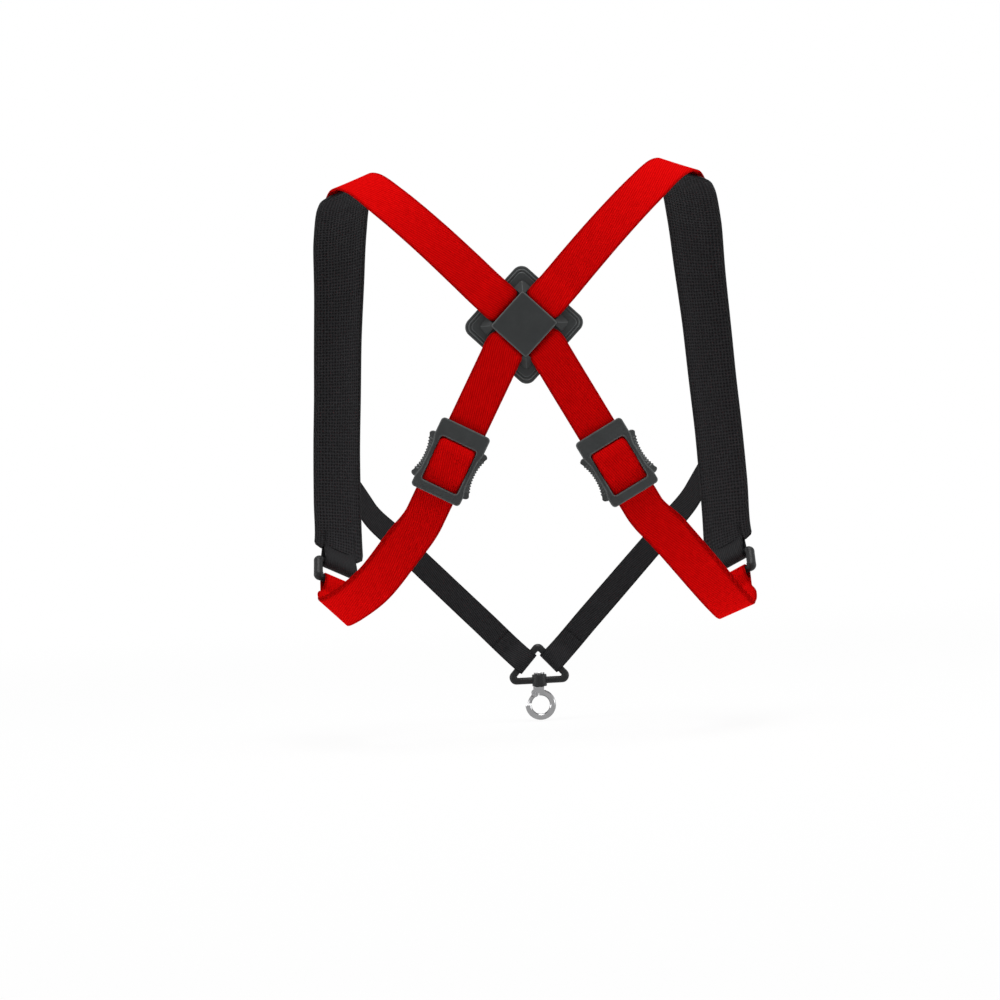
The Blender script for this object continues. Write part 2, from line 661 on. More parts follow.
def upper_knots(level, side):
    """Knots from one front pad over the shoulder to the middle of the plate, as seen on the right side."""
    pad_end = LOOP_MID[side] + LOOP_UP * (LOOP_H + TAB_OUT) + LOOP_OUT * PAD_DROP
    rim, edge = (BASE_HALF + RIM_GAP) / math.sqrt(2), COVER_HALF / math.sqrt(2)
    return [(pad_end, LOOP_OUT),
        ((157.5, 177, -127), (0.65, 0.75, -0.1)), ((156, 180, -83), (0.66, 0.75, 0.02)),
        ((153, 178, -39), (0.65, 0.75, 0.11)), ((150, 172, 5), (0.63, 0.75, 0.18)),
        ((146, 163, 48), (0.56, 0.74, 0.36)), ((142, 145, 86), (0.46, 0.67, 0.58)),
        ((136, 118, 112), (0.4, 0.42, 0.82)), ((129, 92, 121), (0.38, 0.12, 0.92)),
        ((117, 62, 118), (0.34, -0.4, 0.86)), ((96, 33, 99), (0.22, -0.8, 0.56)),
        ((65, 11, 68), (0.08, -0.95, 0.3)), ((42, 1.5, 43.5), (0.02, -0.99, 0.1)),
        ((rim, UNDER_Y, rim), (0, -1, 0)), ((edge, level, edge), (0, -1, 0)), ((0, level, 0), (0, -1, 0))]


UNDER_ARM = {
    RIGHT: [((98.5, 12, -160), (0.06, -0.96, -0.27)), ((127.5, 35, -196), (0.2, -0.82, -0.54)),
        ((142, 55, -213.5), (0.3, -0.45, -0.84)), ((152, 80, -223), (0.36, 0, -0.93)),
        ((156.5, 107, -219), (0.47, 0.3, -0.83))],
    LEFT: [((101, 13, -164), (0.12, -0.95, -0.26)), ((122.5, 31, -188), (0.34, -0.8, -0.47)),
        ((141, 53, -201.5), (0.56, -0.42, -0.7)), ((155.5, 80, -208.5), (0.72, 0, -0.69)),
        ((159, 107, -206), (0.7, 0.28, -0.66))]}
PLATE_EXIT = (12.1, -12)


def lower_knots(level, arm):
    """Knots from the plate past the adjuster and under one arm to its strap loop, as seen on the right
    side."""
    under = LOOP_MID[arm] - LOOP_UP * LOOP_H + LOOP_OUT * LOOP_WRAP
    straight = (RIM_AT, RIM_AT + LEAD, ADJUSTER_AT[arm] + OVERLAP, STRAIGHT_TO, STRAIGHT_TO + LEAD)
    return [((PLATE_EXIT[0], level, PLATE_EXIT[1]), (0, -1, 0)),
        *((lower_point(s), LOWER_OUT) for s in straight), *UNDER_ARM[arm],
        (under - LOOP_UP * LOOP_LEAD, LOOP_OUT), (under, LOOP_OUT)]


# Among the knots of a whole strap, the second layer starts at TAIL_KNOT, below the adjuster, and the
# strap meets the loop's bar at END_KNOT.
PLATE_KNOTS = len(upper_knots(UNDER_Y, RIGHT))
TAIL_KNOT, END_KNOT = PLATE_KNOTS + 3, PLATE_KNOTS + 12
print("knots of a strap:", END_KNOT + 1)

# %% Curve through knots
FRAME_STEP = 1.5


def follow(knots, first, last):
    """A run of frames through knots: cubic curve with directions from the neighbouring chords, each weighted
    by the other's length. Returns points, directions, outward normals, width shares of 1 and knot places."""
    p, n = (np.array([k[c] for k in knots], float) for c in (0, 1))
    chord = np.diff(p, axis=0)
    d = np.linalg.norm(chord, axis=1)
    way = chord / d[:, None]
    head = np.vstack([first, unit(way[:-1] * d[1:, None] + way[1:] * d[:-1, None]), last])
    counts = np.maximum(3, np.ceil(d / FRAME_STEP).astype(int))
    i = np.append(np.repeat(np.arange(len(d)), counts), len(d) - 1)
    u = np.append(np.concatenate([np.arange(c) / c for c in counts]), 1.0)
    x, size = u[:, None], d[i, None]
    a, b, m, k = p[i], p[i + 1], head[i] * size, head[i + 1] * size
    points = (2 * x**3 - 3 * x**2 + 1) * a + (x**3 - 2 * x**2 + x) * m + (3 * x**2 - 2 * x**3) * b \
        + (x**3 - x**2) * k
    way = unit((6 * x**2 - 6 * x) * (a - b) + (3 * x**2 - 4 * x + 1) * m + (3 * x**2 - 2 * x) * k)
    out = square_to(n[i] + (n[i + 1] - n[i]) * x, way)
    return points, way, out, np.ones(len(u)), np.append(0, np.cumsum(counts))


def cut(run, i0, i1):
    """The stretch of a run between two of its knots."""
    a, b = run[4][i0], run[4][i1] + 1
    return run[0][a:b], run[1][a:b], run[2][a:b], run[3][a:b]


def calm(run, reach=5):
    """Smooths the outward normals along a run, so that its twist has no corners."""
    kernel = np.hanning(2 * reach + 3)[1:-1]
    padded = np.pad(run[2], ((reach, reach), (0, 0)), mode="edge")
    out = np.stack([np.convolve(padded[:, c], kernel / kernel.sum(), "valid") for c in range(3)], 1)
    return (run[0], run[1], square_to(out, run[1])) + tuple(run[3:])


print("curves have a frame every", FRAME_STEP, "mm")

# %% Strap beside the cover
DRAWN, DRAWN_REACH, RISE, RISE_REACH, RISE_LEAN = 5.0, 8.0, 2.6, 26.0, 0.5


def past_cover(points):
    """Distance past the cover's edge, seen from behind."""
    x, z = points[..., 0], points[..., 2]
    return np.maximum(np.abs(x + z), np.abs(x - z)) * DIAGONAL - COVER_HALF


def gathered(points):
    """Width share beside the cover: full to within a short reach of its edge, then a quarter round in."""
    near = 1 - np.clip(past_cover(points) / DRAWN_REACH, 0, 1)
    return 1 - DRAWN / STRAP_W * (1 - np.sqrt(1 - near**2))


def swelled(points):
    """Rise beside the cover: rise * sin(pi * t^lean), with t from 0 at the cover's edge to 1 at its reach."""
    return RISE * np.sin(math.pi * np.clip(past_cover(points) / RISE_REACH, 0, 1)**RISE_LEAN)


print("the strap is drawn in by", DRAWN, "mm at the cover")

# %% Turns and layers
TURN_STEPS = 24


def half_turn(centre, way, out, radius):
    """A half turn round a bar, that arrives along way with its face towards out: the face turns by
    out * cos(a) + way * sin(a), with a from 0 to half a turn."""
    a = np.linspace(0, math.pi, TURN_STEPS + 1)[1:, None]
    normal = out * np.cos(a) + way * np.sin(a)
    return centre + normal * radius, way * np.cos(a) - out * np.sin(a), normal, np.ones(TURN_STEPS)


def joined(*runs):
    """Puts runs end to end."""
    return tuple(np.concatenate([r[k] for r in runs]) for k in range(4))


def length_along(points):
    """Length of the way to each point."""
    return np.append(0, np.cumsum(np.linalg.norm(np.diff(points, axis=0), axis=1)))


def under_layer(run, wide):
    """The layer under a run that ends on a bar: wide apart at the bar, then closing up to one layer."""
    s = length_along(run[0])
    gap = wide + (LAYER - wide) * ease((s[-1] - s) / CLOSE_UP)
    return run[0] - run[2] * gap[:, None], run[1], run[2], run[3]


def turned_over(run):
    """The same run walked the other way, with its face to the other side."""
    return run[0][::-1], -run[1][::-1], -run[2][::-1], run[3][::-1]


print("helpers for turns and layers are ready")

# %% Strap routes
def strap_run(side, level):
    """The whole strap that starts at one side's pad and ends at the other side's strap loop."""
    upper = [(to_side(p, side), to_side(n, side)) for p, n in upper_knots(level, side)]
    lower = [(to_side(p, -side), to_side(n, -side)) for p, n in lower_knots(level, -side)]
    points, way, out, _, places = follow(upper + lower, to_side(LOOP_UP, side), to_side(LOOP_UP, -side))
    return calm((points, way, out, gathered(points), places))


# Each strap crosses the plate at its own level. What lies along a strap, such as a pad or a second
# layer, follows a run at the lower level on both sides.
RUNS = {LEFT: strap_run(LEFT, UNDER_Y), RIGHT: strap_run(RIGHT, OVER_Y)}
LEVEL_RUNS = {side: strap_run(side, UNDER_Y) for side in (LEFT, RIGHT)}
print("strap lengths:", [round(length_along(r[0])[-1]) for r in RUNS.values()], "mm")

# %% [markdown]
# ## Webbing
# A strap is a flat section with half-round edges, carried along its run. That gives both faces and
# the woven edges at once, where a flat sheet would need a Solidify modifier and would keep square
# edges. The map is laid in metres across and along, for the weave. The rim value marks the woven
# edges.

# %% Webbing section
ACROSS, ROUND = 22, 5
WOVEN_EDGE = 0.12


def section(width_share, width, thick):
    """A flat closed section: width minus thick across with half-round edges.
    Returns the places across and outward for each frame, and the share across from -1 to 1."""
    flat = np.linspace(1, -1, ACROSS)
    turn = np.linspace(math.pi / 2, -math.pi / 2, ROUND + 2)[1:-1]
    share = np.concatenate([flat, -np.ones(ROUND), flat[::-1], np.ones(ROUND)])
    edge = np.concatenate([np.zeros(ACROSS), -np.cos(turn), np.zeros(ACROSS), np.cos(turn)])
    up = np.concatenate([np.ones(ACROSS), np.sin(turn), -np.ones(ACROSS), -np.sin(turn)])
    half = (width_share * width / 2 - thick / 2)[:, None]
    return share * half + edge * thick / 2, up * thick / 2 + 0 * half, share


def webbing_part(run, width, thick=STRAP_T):
    """The section carried along a run: point + side * place across + outward * place up. Returns the part and
    its length."""
    points, way, out, share = run[:4]
    across, up, place = section(share, width, thick)
    s = length_along(points)[:, None]
    grid = points[:, None] + np.cross(way, out)[:, None] * across[..., None] + out[:, None] * up[..., None]
    u = np.append(place, place[0]) * width / 2
    uv = np.stack(np.broadcast_arrays(u[None], s), -1)
    rim = ease((np.abs(place) - (1 - WOVEN_EDGE)) / WOVEN_EDGE)
    return closed_part(grid, map_uv=uv * MM, rim=rim), float(s[-1, 0])


print("section of", 2 * (ACROSS + ROUND), "points")

# %% Straps
def strap_piece(side):
    """One red strap, from its sewn end on the pad to the half turn on the far strap loop."""
    run = cut(RUNS[side], SEWN_KNOT, END_KNOT)
    bar = to_side(LOOP_MID[-side] - LOOP_UP * LOOP_H, -side)
    turn = half_turn(bar, to_side(LOOP_UP, -side), to_side(LOOP_OUT, -side), LOOP_WRAP)
    part, length = webbing_part(joined(run, turn), STRAP_W)
    part["points"][:, 1] -= swelled(part["points"])
    name = SIDE_NAME[side] + "_strap"
    piece = on_body(make_piece(name + "_webbing", [part], [RED]), "harness", "red_webbing", name)
    return length


print("straps", [round(strap_piece(s)) for s in (LEFT, RIGHT)], "mm")

# %% [markdown]
# ## Second layers
# From the strap loop the webbing goes back to the adjuster as a second layer. It gets longer or
# shorter as the adjuster slides, so one end is tied to the harness and the other to the adjuster.
# Bones could bend it too, but one blend along its straight stretch is enough.

# %% Second layers
BUTT, PEEK, PEEK_FROM, PEEK_EASE = 0.3, 1.8, 12.0, 30.0


def return_piece(side):
    """The second layer from the strap loop back to the adjuster, which stretches as the adjuster slides. On
    its way it lies a little above the first layer, so that its edge peeks out: peek * ease from both ends."""
    run = cut(LEVEL_RUNS[side], TAIL_KNOT, END_KNOT)
    points, way, out, share = under_layer(run, 2 * LOOP_WRAP)
    points[0] += way[0] * BUTT
    points[-1] -= way[-1] * BUTT
    s = length_along(points)
    upper = np.cross(way, out)
    upper *= np.sign(upper[len(s) // 2, 2])
    from_start, from_end = (ease((far - PEEK_FROM) / PEEK_EASE) for far in (s, s[-1] - s))
    points = points + upper * (PEEK * from_start * from_end)[:, None]
    part, length = webbing_part((points, way, -out, share), STRAP_W)
    body = SIDE_NAME[-side]
    piece = on_body(make_piece(body + "_return_webbing", [part], [RED]), None, "red_webbing",
        body + "_return_strap")
    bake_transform(piece)
    return length


print("second layers", [round(return_piece(s)) for s in (LEFT, RIGHT)], "mm")

# %% [markdown]
# ## Outlines
# Moulded pieces start from an outline in their own plane: a rounded rectangle walked side by side,
# so that two outlines with the same counts can be joined point for point. A profile then moves the
# outline in or out and up or down. That gives real rounded edges, where a bevel on a solid's loose
# triangles would fail.

# %% Outlines
CORNER_STEPS, SIDE_STEPS = 12, 1200


def side_line(half_across, half_along, corner_r, bulge=None):
    """The right side of a rounded rectangle, from the middle of one corner to the middle of the next.
    bulge is a function of the place along the side, which adds to the width."""
    a = np.linspace(-math.pi / 4, 0, CORNER_STEPS)
    corner = np.stack([half_across - corner_r + corner_r * np.cos(a),
        corner_r - half_along + corner_r * np.sin(a)], 1)
    y = np.linspace(corner_r - half_along, half_along - corner_r, SIDE_STEPS)[1:-1]
    x = np.full_like(y, half_across) if bulge is None else half_across + bulge(y)
    return np.vstack([corner, np.stack([x, y], 1), (corner * [1, -1])[::-1]])


def even(line, count):
    """count points at even distances along a line, without its last point."""
    s = length_along(line)
    at = np.linspace(0, s[-1], count + 1)[:-1]
    return np.stack([np.interp(at, s, line[:, 0]), np.interp(at, s, line[:, 1])], 1)


def outline(half_x, half_y, corner_r, counts, bulge=None):
    """A rounded rectangle as one closed line: right, top, left and bottom side, with counts of points for the
    upright and the level sides. Returns points and normals."""
    right = side_line(half_x, half_y, corner_r, bulge)
    left = (right * [-1, 1])[::-1]
    top = even(side_line(half_y, half_x, corner_r), counts[1])
    quarter = np.array([[0, 1], [-1, 0]])
    line = np.vstack([even(right, counts[0]), top @ quarter, even(left, counts[0]), -top @ quarter])
    return line, outward(line)


def outward(line):
    """Normals of a closed flat line that is walked to the left."""
    ahead = np.roll(line, -1, 0) - np.roll(line, 1, 0)
    return unit(np.stack([ahead[:, 1], -ahead[:, 0]], 1))


print("helpers for outlines are ready")

# %% Lofts and round bars
def arc(r, count=4):
    """A quarter round: pairs of (inset, drop) from the side to the top."""
    a = np.linspace(0, math.pi / 2, count + 1)
    return [(r - r * math.cos(t), r - r * math.sin(t)) for t in a]


def loft(levels):
    """Rings to a grid. Each level is (outline points, normals, offset, height): point + normal * offset, at
    that height."""
    rings = []
    for line, normal, offset, height in levels:
        flat = line + normal * np.broadcast_to(offset, (len(line),))[:, None]
        rings.append(np.column_stack([flat, np.broadcast_to(height, (len(line),))]))
    return np.stack(rings)


def placed(grid, origin, x, y, z):
    """Moves a grid from its own axes to the frame."""
    return origin + grid[..., :1] * x + grid[..., 1:2] * y + grid[..., 2:3] * z


def slab_levels(half_x, half_y, corner_r, low, high, edge_r, counts):
    """Rings of a plate with rounded rims on both faces."""
    line, normal = outline(half_x, half_y, corner_r, counts)
    side = [(-inset, low + drop) for inset, drop in arc(edge_r)[::-1]]
    side += [(-inset, high - drop) for inset, drop in arc(edge_r)]
    return [(line, normal, offset, height) for offset, height in side]


def slab_part(levels, axes, rim=0.0):
    """A lofted plate, capped on both faces."""
    return closed_part(placed(loft(levels), *axes), rim=rim)


def tube_part(path, normals, binormals, radius, closed, round_steps=20, rim=0.0):
    """A round bar: the circle normal * cos + binormal * sin of the given radius at each point of a path."""
    a = np.linspace(0, TURN, round_steps, endpoint=False)
    r = np.broadcast_to(radius, (len(path),))[:, None, None]
    ring = normals[:, None] * np.cos(a)[:, None] + binormals[:, None] * np.sin(a)[:, None]
    grid = path[:, None] + ring * r
    u = np.linspace(0, 1, round_steps + 1) * TURN * np.mean(radius)
    s = length_along(path)
    uv = np.stack(np.broadcast_arrays(u[None], s[:, None]), -1) * MM
    return closed_part(grid, loop=closed, map_uv=uv, rim=rim)


print("helpers for mouldings are ready")

# %% [markdown]
# ## The cross plate
# The base is a diamond with a stepped rim: a flange, a small round step, a second fine step, then
# the flat that the straps lie on. The cover stands on four posts. At each of its corners is a small
# hip, a ridge with two slopes that runs down to the base between two straps. Base and cover are
# lofts of square rings, one ring for each corner of their profile, because steps that are cut into
# a solid would need a bevel on every edge.

# %% Cross plate
FLANGE_T, FLANGE_EDGE, STEP_IN, STEP_TOP, STEP_EDGE, GROOVE = 1.6, 0.7, 2.15, 2.75, 0.4, 2.3
BASE_R, BASE_R_IN, CORNER_SHARE, BASE_COUNTS = 7.5, 1.5, 0.75, (72, 72)
PLATE_AXES = (np.zeros(3), np.array([DIAGONAL, 0, DIAGONAL]), np.array([-DIAGONAL, 0, DIAGONAL]),
    np.array([0, -1.0, 0]))


def base_levels():
    """Rings of the base from its underside up the rim: flange, groove, rounded step, second groove and flat.
    Each row is (inset, height, paleness)."""
    profile = [(1.0, 0.0, 0), (0.3, 0.0, 0), (0.0, 0.3, 0)]
    profile += [(i, FLANGE_T - d, 0.3) for i, d in arc(FLANGE_EDGE)]
    profile += [(1.7, FLANGE_T - 0.05, 0), (2.0, FLANGE_T, 0), (STEP_IN, 2.2, 0.1)]
    profile += [(STEP_IN + i, STEP_TOP - d, 0.95) for i, d in arc(STEP_EDGE)]
    profile += [(2.95, STEP_TOP - 0.01, 0.5), (3.3, GROOVE + 0.2, 0), (3.6, GROOVE, 0), (4.1, GROOVE, 0),
        (4.3, GROOVE + 0.2, 0.1), (4.55, BASE_T - 0.06, 0.7), (4.9, BASE_T, 0.2), (5.4, BASE_T, 0)]
    levels = []
    for inset, height, _ in profile:
        half = BASE_HALF - inset
        corner_r = max(BASE_R - inset * CORNER_SHARE, BASE_R_IN)
        levels.append(outline(half, half, corner_r, BASE_COUNTS) + (0.0, height))
    return levels, np.array([[pale] for _, _, pale in profile])


base_rings, base_pale = base_levels()
base = make_piece("cross_plate_base_moulding", [slab_part(base_rings, PLATE_AXES, base_pale)], [PLASTIC], 50)
on_body(base, "harness", "black_plastic", "cross_plate_base")
print("base:", round(2 * BASE_HALF, 1), "mm square")

# %% Plate cover
COVER_T, COVER_R, COVER_R_IN, COVER_COUNTS = 2.6, 1.2, 0.25, (40, 40)
COVER_IN = -OVER_Y + STRAP_T / 2 + FIT
COVER_OUT = COVER_IN + COVER_T
COVER_LOW_EDGE, COVER_EDGE, COVER_EDGE_WIDE, COVER_FLAT, COVER_CROWN = 0.25, 0.8, 1.25, 1.6, 0.02
POST_R, POST_EDGE, POST_SUNK, POST_COUNTS = 0.5, 0.2, 0.6, (8, 8)
CORNERS = [(sx, sy) for sx in (LEFT, RIGHT) for sy in (LEFT, RIGHT)]
HIP_FROM, HIP_OUT, HIP_SINK, HIP_EDGE, HIP_R = 15.0, 6.2, 0.3, 1.3, 1.6
HIP_STEPS, HIP_SQUARE, RIDGE_SOFT, RIDGE_HALF, RIDGE_PALE, RIDGE_FROM = 36, 6, 0.05, 0.5, 0.7, 0.2


def cover_plate():
    """The cover's plate: square rings of (offset, height) up a wide rounded edge to a nearly flat top."""
    profile = [(-COVER_FLAT, COVER_IN), (-COVER_LOW_EDGE, COVER_IN), (0, COVER_IN + COVER_LOW_EDGE),
        (0, COVER_OUT - COVER_EDGE)]
    profile += [(-i * COVER_EDGE_WIDE, COVER_OUT - d) for i, d in arc(COVER_EDGE)[1:]]
    profile += [(-COVER_FLAT, COVER_OUT + COVER_CROWN)]
    pale = np.array([0, 0, 0, 0.5, 0.9, 1.0, 0.8, 0.25, 0])[:, None]
    levels = [outline(COVER_HALF + o, COVER_HALF + o, max(COVER_R + o, COVER_R_IN), COVER_COUNTS) + (0.0, h)
        for o, h in profile]
    return slab_part(levels, PLATE_AXES, pale)


def post_part(sx, sy):
    """One post between the base and the cover."""
    at = COVER_HALF - COVER_LIP - POST_W / 2
    levels = slab_levels(POST_W / 2, POST_W / 2, POST_R, BASE_T, COVER_IN + POST_SUNK, POST_EDGE, POST_COUNTS)
    return slab_part(levels, (PLATE_AXES[1] * sx * at + PLATE_AXES[2] * sy * at,) + PLATE_AXES[1:])


def hip_part(sx, sy):
    """One corner of the cover's sloping skirt: a small square block. Its top keeps the cover's height inside
    the cover's edges and falls evenly with the larger distance outside them, so that two facets meet in a
    ridge. Its outer corner is drawn in by a power of u * v."""
    u, v = np.meshgrid(np.linspace(0, 1, HIP_STEPS), np.linspace(0, 1, HIP_STEPS), indexing="ij")
    size = COVER_HALF + HIP_OUT - HIP_FROM
    cut_off = HIP_R * (2 - math.sqrt(2)) / size * (u * v)**HIP_SQUARE
    x, y = HIP_FROM + size * (u - cut_off), HIP_FROM + size * (v - cut_off)
    far = np.maximum((x + y + np.sqrt((x - y)**2 + RIDGE_SOFT)) / 2 - COVER_HALF, 0)
    low, high = BASE_T + FIT, COVER_OUT - HIP_SINK
    top = high - (high - low - HIP_EDGE) * np.minimum(far / HIP_OUT, 1)
    upper, under = np.stack([x * sx, y * sy, top], -1), np.stack([x * sx, y * sy, low + 0 * top], -1)
    ridge = RIDGE_PALE * ease(1 - np.abs(x - y) / RIDGE_HALF) * (far > RIDGE_FROM)
    rim = np.concatenate([ridge, 0 * top], 1)
    return closed_part(placed(np.concatenate([upper, under[:, ::-1]], 1), *PLATE_AXES), rim=rim)


cover_parts = [cover_plate()] + [post_part(*c) for c in CORNERS] + [hip_part(*c) for c in CORNERS]
cover = make_piece("cross_plate_cover_moulding", cover_parts, [PLASTIC], 35)
on_body(cover, "harness", "black_plastic", "cross_plate_cover")
print("cover:", round(2 * COVER_HALF, 1), "mm square")

# %% [markdown]
# ## The adjusters
# Each adjuster is a frame with a wide upper bar. The strap passes under its face and shows in its
# window. Its sides have finger grips: hollow curves between two ears, with fine upright ribs.
# Cutting ribs and a window into a block would take many steps, so the frame is one ring of points
# walked round the window, with a profile that goes up the window's edge, over the face, down the
# outside and back under the side walls. The ribs are a raised cosine that pushes the outside out.
# Two cheeks and a bar below it hold the sewn loop.

# %% Adjuster outline
ADJ_LEN, ADJ_TOP, ADJ_BOTTOM, ADJ_T, ADJ_LIP, ADJ_WALL, ADJ_R = 56.0, 13.0, 7.5, 3.5, 0.5, 4.3, 3.0
WALL_GAP, WALL_IN, WALL_R, WALL_EASE, LOW_EDGE = 0.5, 0.8, 2.0, 0.6, 0.25
ADJ_HALF = STRAP_W / 2 + WALL_GAP + ADJ_WALL
ADJ_FACE = STRAP_T / 2 + FIT
ADJ_BAR_R = 1.8
BAR_WRAP = ADJ_BAR_R + FIT + STRAP_T / 2
BAR_MID = -LAYER - BAR_WRAP
WALL_LOW = -STRAP_T
WINDOW_MID = (ADJ_BOTTOM - ADJ_TOP) / 2
EAR_AT, EAR_R, EAR_OUT, HOLLOW_OUT, HOLLOW_POWER = 15.6, 2.7, 3.7, 0.1, 2.3
RIBS, RIB_PITCH, RIB_OUT, RIB_UP, BAND, BAND_REACH = 12, 2.2, 0.8, 0.6, 1.7, 10.0
WINDOW_CORNER, FACE_EDGE, SLOPE = 2.2, 0.6, 1.5
SLOPE_STEPS, RIB_RISES, RIB_SINKS = (0.12, 0.3, 0.5, 0.7, 0.88, 1.0), 0.3, 0.7
FRAME_COUNTS = (420, 70)


def grip_bulge(y):
    """Reach of the finger grip beyond the frame's side: it grows by a power of the distance from the
    middle, up to an ear at each end, and falls in a quarter round outside each ear."""
    t = np.abs(y - WINDOW_MID)
    hollow = HOLLOW_OUT + (EAR_OUT - HOLLOW_OUT) * (t / EAR_AT)**HOLLOW_POWER
    past = np.clip((t - EAR_AT) / EAR_R, 0, 1)
    return np.where(t <= EAR_AT, hollow, EAR_OUT * np.sqrt(1 - past**2))


def rib_wave(line):
    """Ribs on the hollow of each grip: a raised cosine along the side, between the first and the last rib."""
    y = line[:, 1] - WINDOW_MID
    on_grip = (np.abs(line[:, 0]) > ADJ_HALF) & (np.abs(y) < RIBS * RIB_PITCH / 2)
    return np.where(on_grip, 0.5 - 0.5 * np.cos(TURN * y / RIB_PITCH), 0)


def adjuster_axes(side):
    """Axes of an adjuster on its strap: x across, y up the strap, z outward from the back."""
    up, out = -to_side(LOWER_RUN, side), to_side(LOWER_OUT, side)
    return to_side(lower_point(ADJUSTER_AT[side]), side), np.cross(up, out), up, out


print("adjuster:", ADJ_LEN, "mm long,", round(2 * ADJ_HALF, 1), "mm wide")

# %% Adjuster frame
def face_line(outer):
    """The edge of the flat face: the frame's side, drawn in by an eased band along the grip."""
    on_side = np.abs(outer[:, 0]) > ADJ_HALF - 1e-6
    from_end = EAR_AT + EAR_R - np.abs(outer[:, 1] - WINDOW_MID)
    x = np.minimum(np.abs(outer[:, 0]), ADJ_HALF) - BAND * on_side * ease(from_end / BAND_REACH)
    return np.stack([np.sign(outer[:, 0]) * x, outer[:, 1]], 1)


def frame_levels():
    """Rings of the frame: up the window's edge, over the face, down a ribbed slope to the grips, down the
    outside and back under the side walls. Each is (points, normals, offset, height, paleness); returns the
    rings and their pale edge values."""
    outer, outer_n = outline(ADJ_HALF, ADJ_LEN / 2, ADJ_R, FRAME_COUNTS, grip_bulge)
    window_half = (ADJ_LEN - ADJ_TOP - ADJ_BOTTOM) / 2
    inner, inner_n = outline(STRAP_W / 2 - ADJ_LIP, window_half, WINDOW_CORNER, FRAME_COUNTS)
    inner = inner + [0, WINDOW_MID]
    wall, wall_n = outline(STRAP_W / 2 + WALL_GAP, ADJ_LEN / 2 - WALL_IN, WALL_R, FRAME_COUNTS)
    face = face_line(outer)
    face_n = outward(face)
    top, rib = ADJ_FACE + ADJ_T, rib_wave(outer)
    slope_top, slope_low = top - FACE_EDGE, top - FACE_EDGE - SLOPE
    on_wall = ease((ADJ_LEN / 2 - ADJ_R - np.abs(outer[:, 1])) / WALL_EASE)
    low = ADJ_FACE + (WALL_LOW - ADJ_FACE) * on_wall
    levels = [(inner, inner_n, 0.0, ADJ_FACE, 0.0), (inner, inner_n, 0.0, slope_top, 0.3)]
    levels += [(inner, inner_n, i, top - d, 0.9) for i, d in arc(FACE_EDGE)[1:]]
    levels += [(inner, inner_n, 2 * FACE_EDGE, top, 0.1), (face, face_n, -2 * FACE_EDGE, top, 0.1)]
    levels += [(face, face_n, -i, top - d, 0.8) for i, d in arc(FACE_EDGE)[::-1]]
    for share in SLOPE_STEPS:
        sunk_in = (share - RIB_SINKS) / (1 - RIB_SINKS)
        raised = RIB_UP * rib * ease(share / RIB_RISES) * (1 - 0.5 * ease(sunk_in))
        levels.append((face + (outer - face) * share, outer_n, RIB_OUT * rib * max(0, sunk_in),
            slope_top - SLOPE * share + raised, 0.45 * rib))
    levels += [(outer, outer_n, RIB_OUT * rib, (slope_low + low) / 2, 0.3 * rib),
        (outer, outer_n, RIB_OUT * rib, low + 2 * LOW_EDGE, 0.3 * rib),
        (outer, outer_n, RIB_OUT * rib * 0.7 - LOW_EDGE, low, 0),
        (wall, wall_n, 0.0, low, 0), (wall, wall_n, -FIT, ADJ_FACE, 0)]
    pale = np.stack([np.broadcast_to(level[4], (len(outer),)) for level in levels], 1)
    return [level[:4] for level in levels], pale


print("rings of the frame:", len(frame_levels()[0]))

# %% Adjusters
CHEEK_LEN, CHEEK_R, CHEEK_EDGE, CHEEK_SUNK, CHEEK_COUNTS = 9.0, 1.2, 0.5, 0.6, (16, 10)
BAR_STEPS, BAR_SUNK = 12, 1.0


def adjuster_parts(side):
    """The frame's ring, the two cheeks and the middle bar."""
    axes = adjuster_axes(side)
    levels, pale = frame_levels()
    parts = [closed_part(np.swapaxes(placed(loft(levels), *axes), 0, 1), loop=True, rim=pale)]
    cheek = slab_levels(ADJ_WALL / 2, CHEEK_LEN / 2, CHEEK_R, BAR_MID - ADJ_BAR_R, WALL_LOW + CHEEK_SUNK,
        CHEEK_EDGE, CHEEK_COUNTS)
    for sx in (LEFT, RIGHT):
        middle = axes[0] + axes[1] * sx * (ADJ_HALF - ADJ_WALL / 2)
        parts.append(slab_part(cheek, (middle,) + axes[1:]))
    x = np.linspace(-1, 1, BAR_STEPS)[:, None] * (ADJ_HALF - BAR_SUNK)
    path = axes[0] + axes[3] * BAR_MID + axes[1] * x
    normals, binormals = (np.broadcast_to(axis, path.shape) for axis in axes[2:])
    parts.append(tube_part(path, normals, binormals, ADJ_BAR_R, False))
    return parts


for side in (LEFT, RIGHT):
    name = SIDE_NAME[side]
    moulding = make_piece(name + "_adjuster_moulding", adjuster_parts(side), [PLASTIC], 35)
    on_body(moulding, name + "_slider", "black_plastic", name + "_adjuster")
print("adjusters:", len(moulding.data.polygons), "faces each")

# %% [markdown]
# ## Webbing on the adjusters
# Two more stretches of webbing belong to each adjuster. One is the sewn loop that holds the
# adjuster's bar to the second layer. The other is the strap as it rises through the window: it
# humps over the frame's inner edge, so its upper part looks up and is bright, and its lower part is
# in shade. Both slide with the frame. They are made as the straps are, from a run and a flat
# section.

# %% Adjuster webbing
HUMP, HUMP_FROM, HUMP_TO, HUMP_LEAN, HUMP_POWER = 5.6, 0.1, 0.87, 0.72, 1.3
WINDOW_GAP, WINDOW_TOP, WINDOW_T, WINDOW_R, WINDOW_DIP = 0.35, 1.1, 0.8, 3.2, 1.0
WINDOW_W = STRAP_W - 2 * ADJ_LIP - 2 * WINDOW_GAP
TAIL_STEPS, WINDOW_STEPS, WINDOW_CROWDING = 20, 70, 1.2


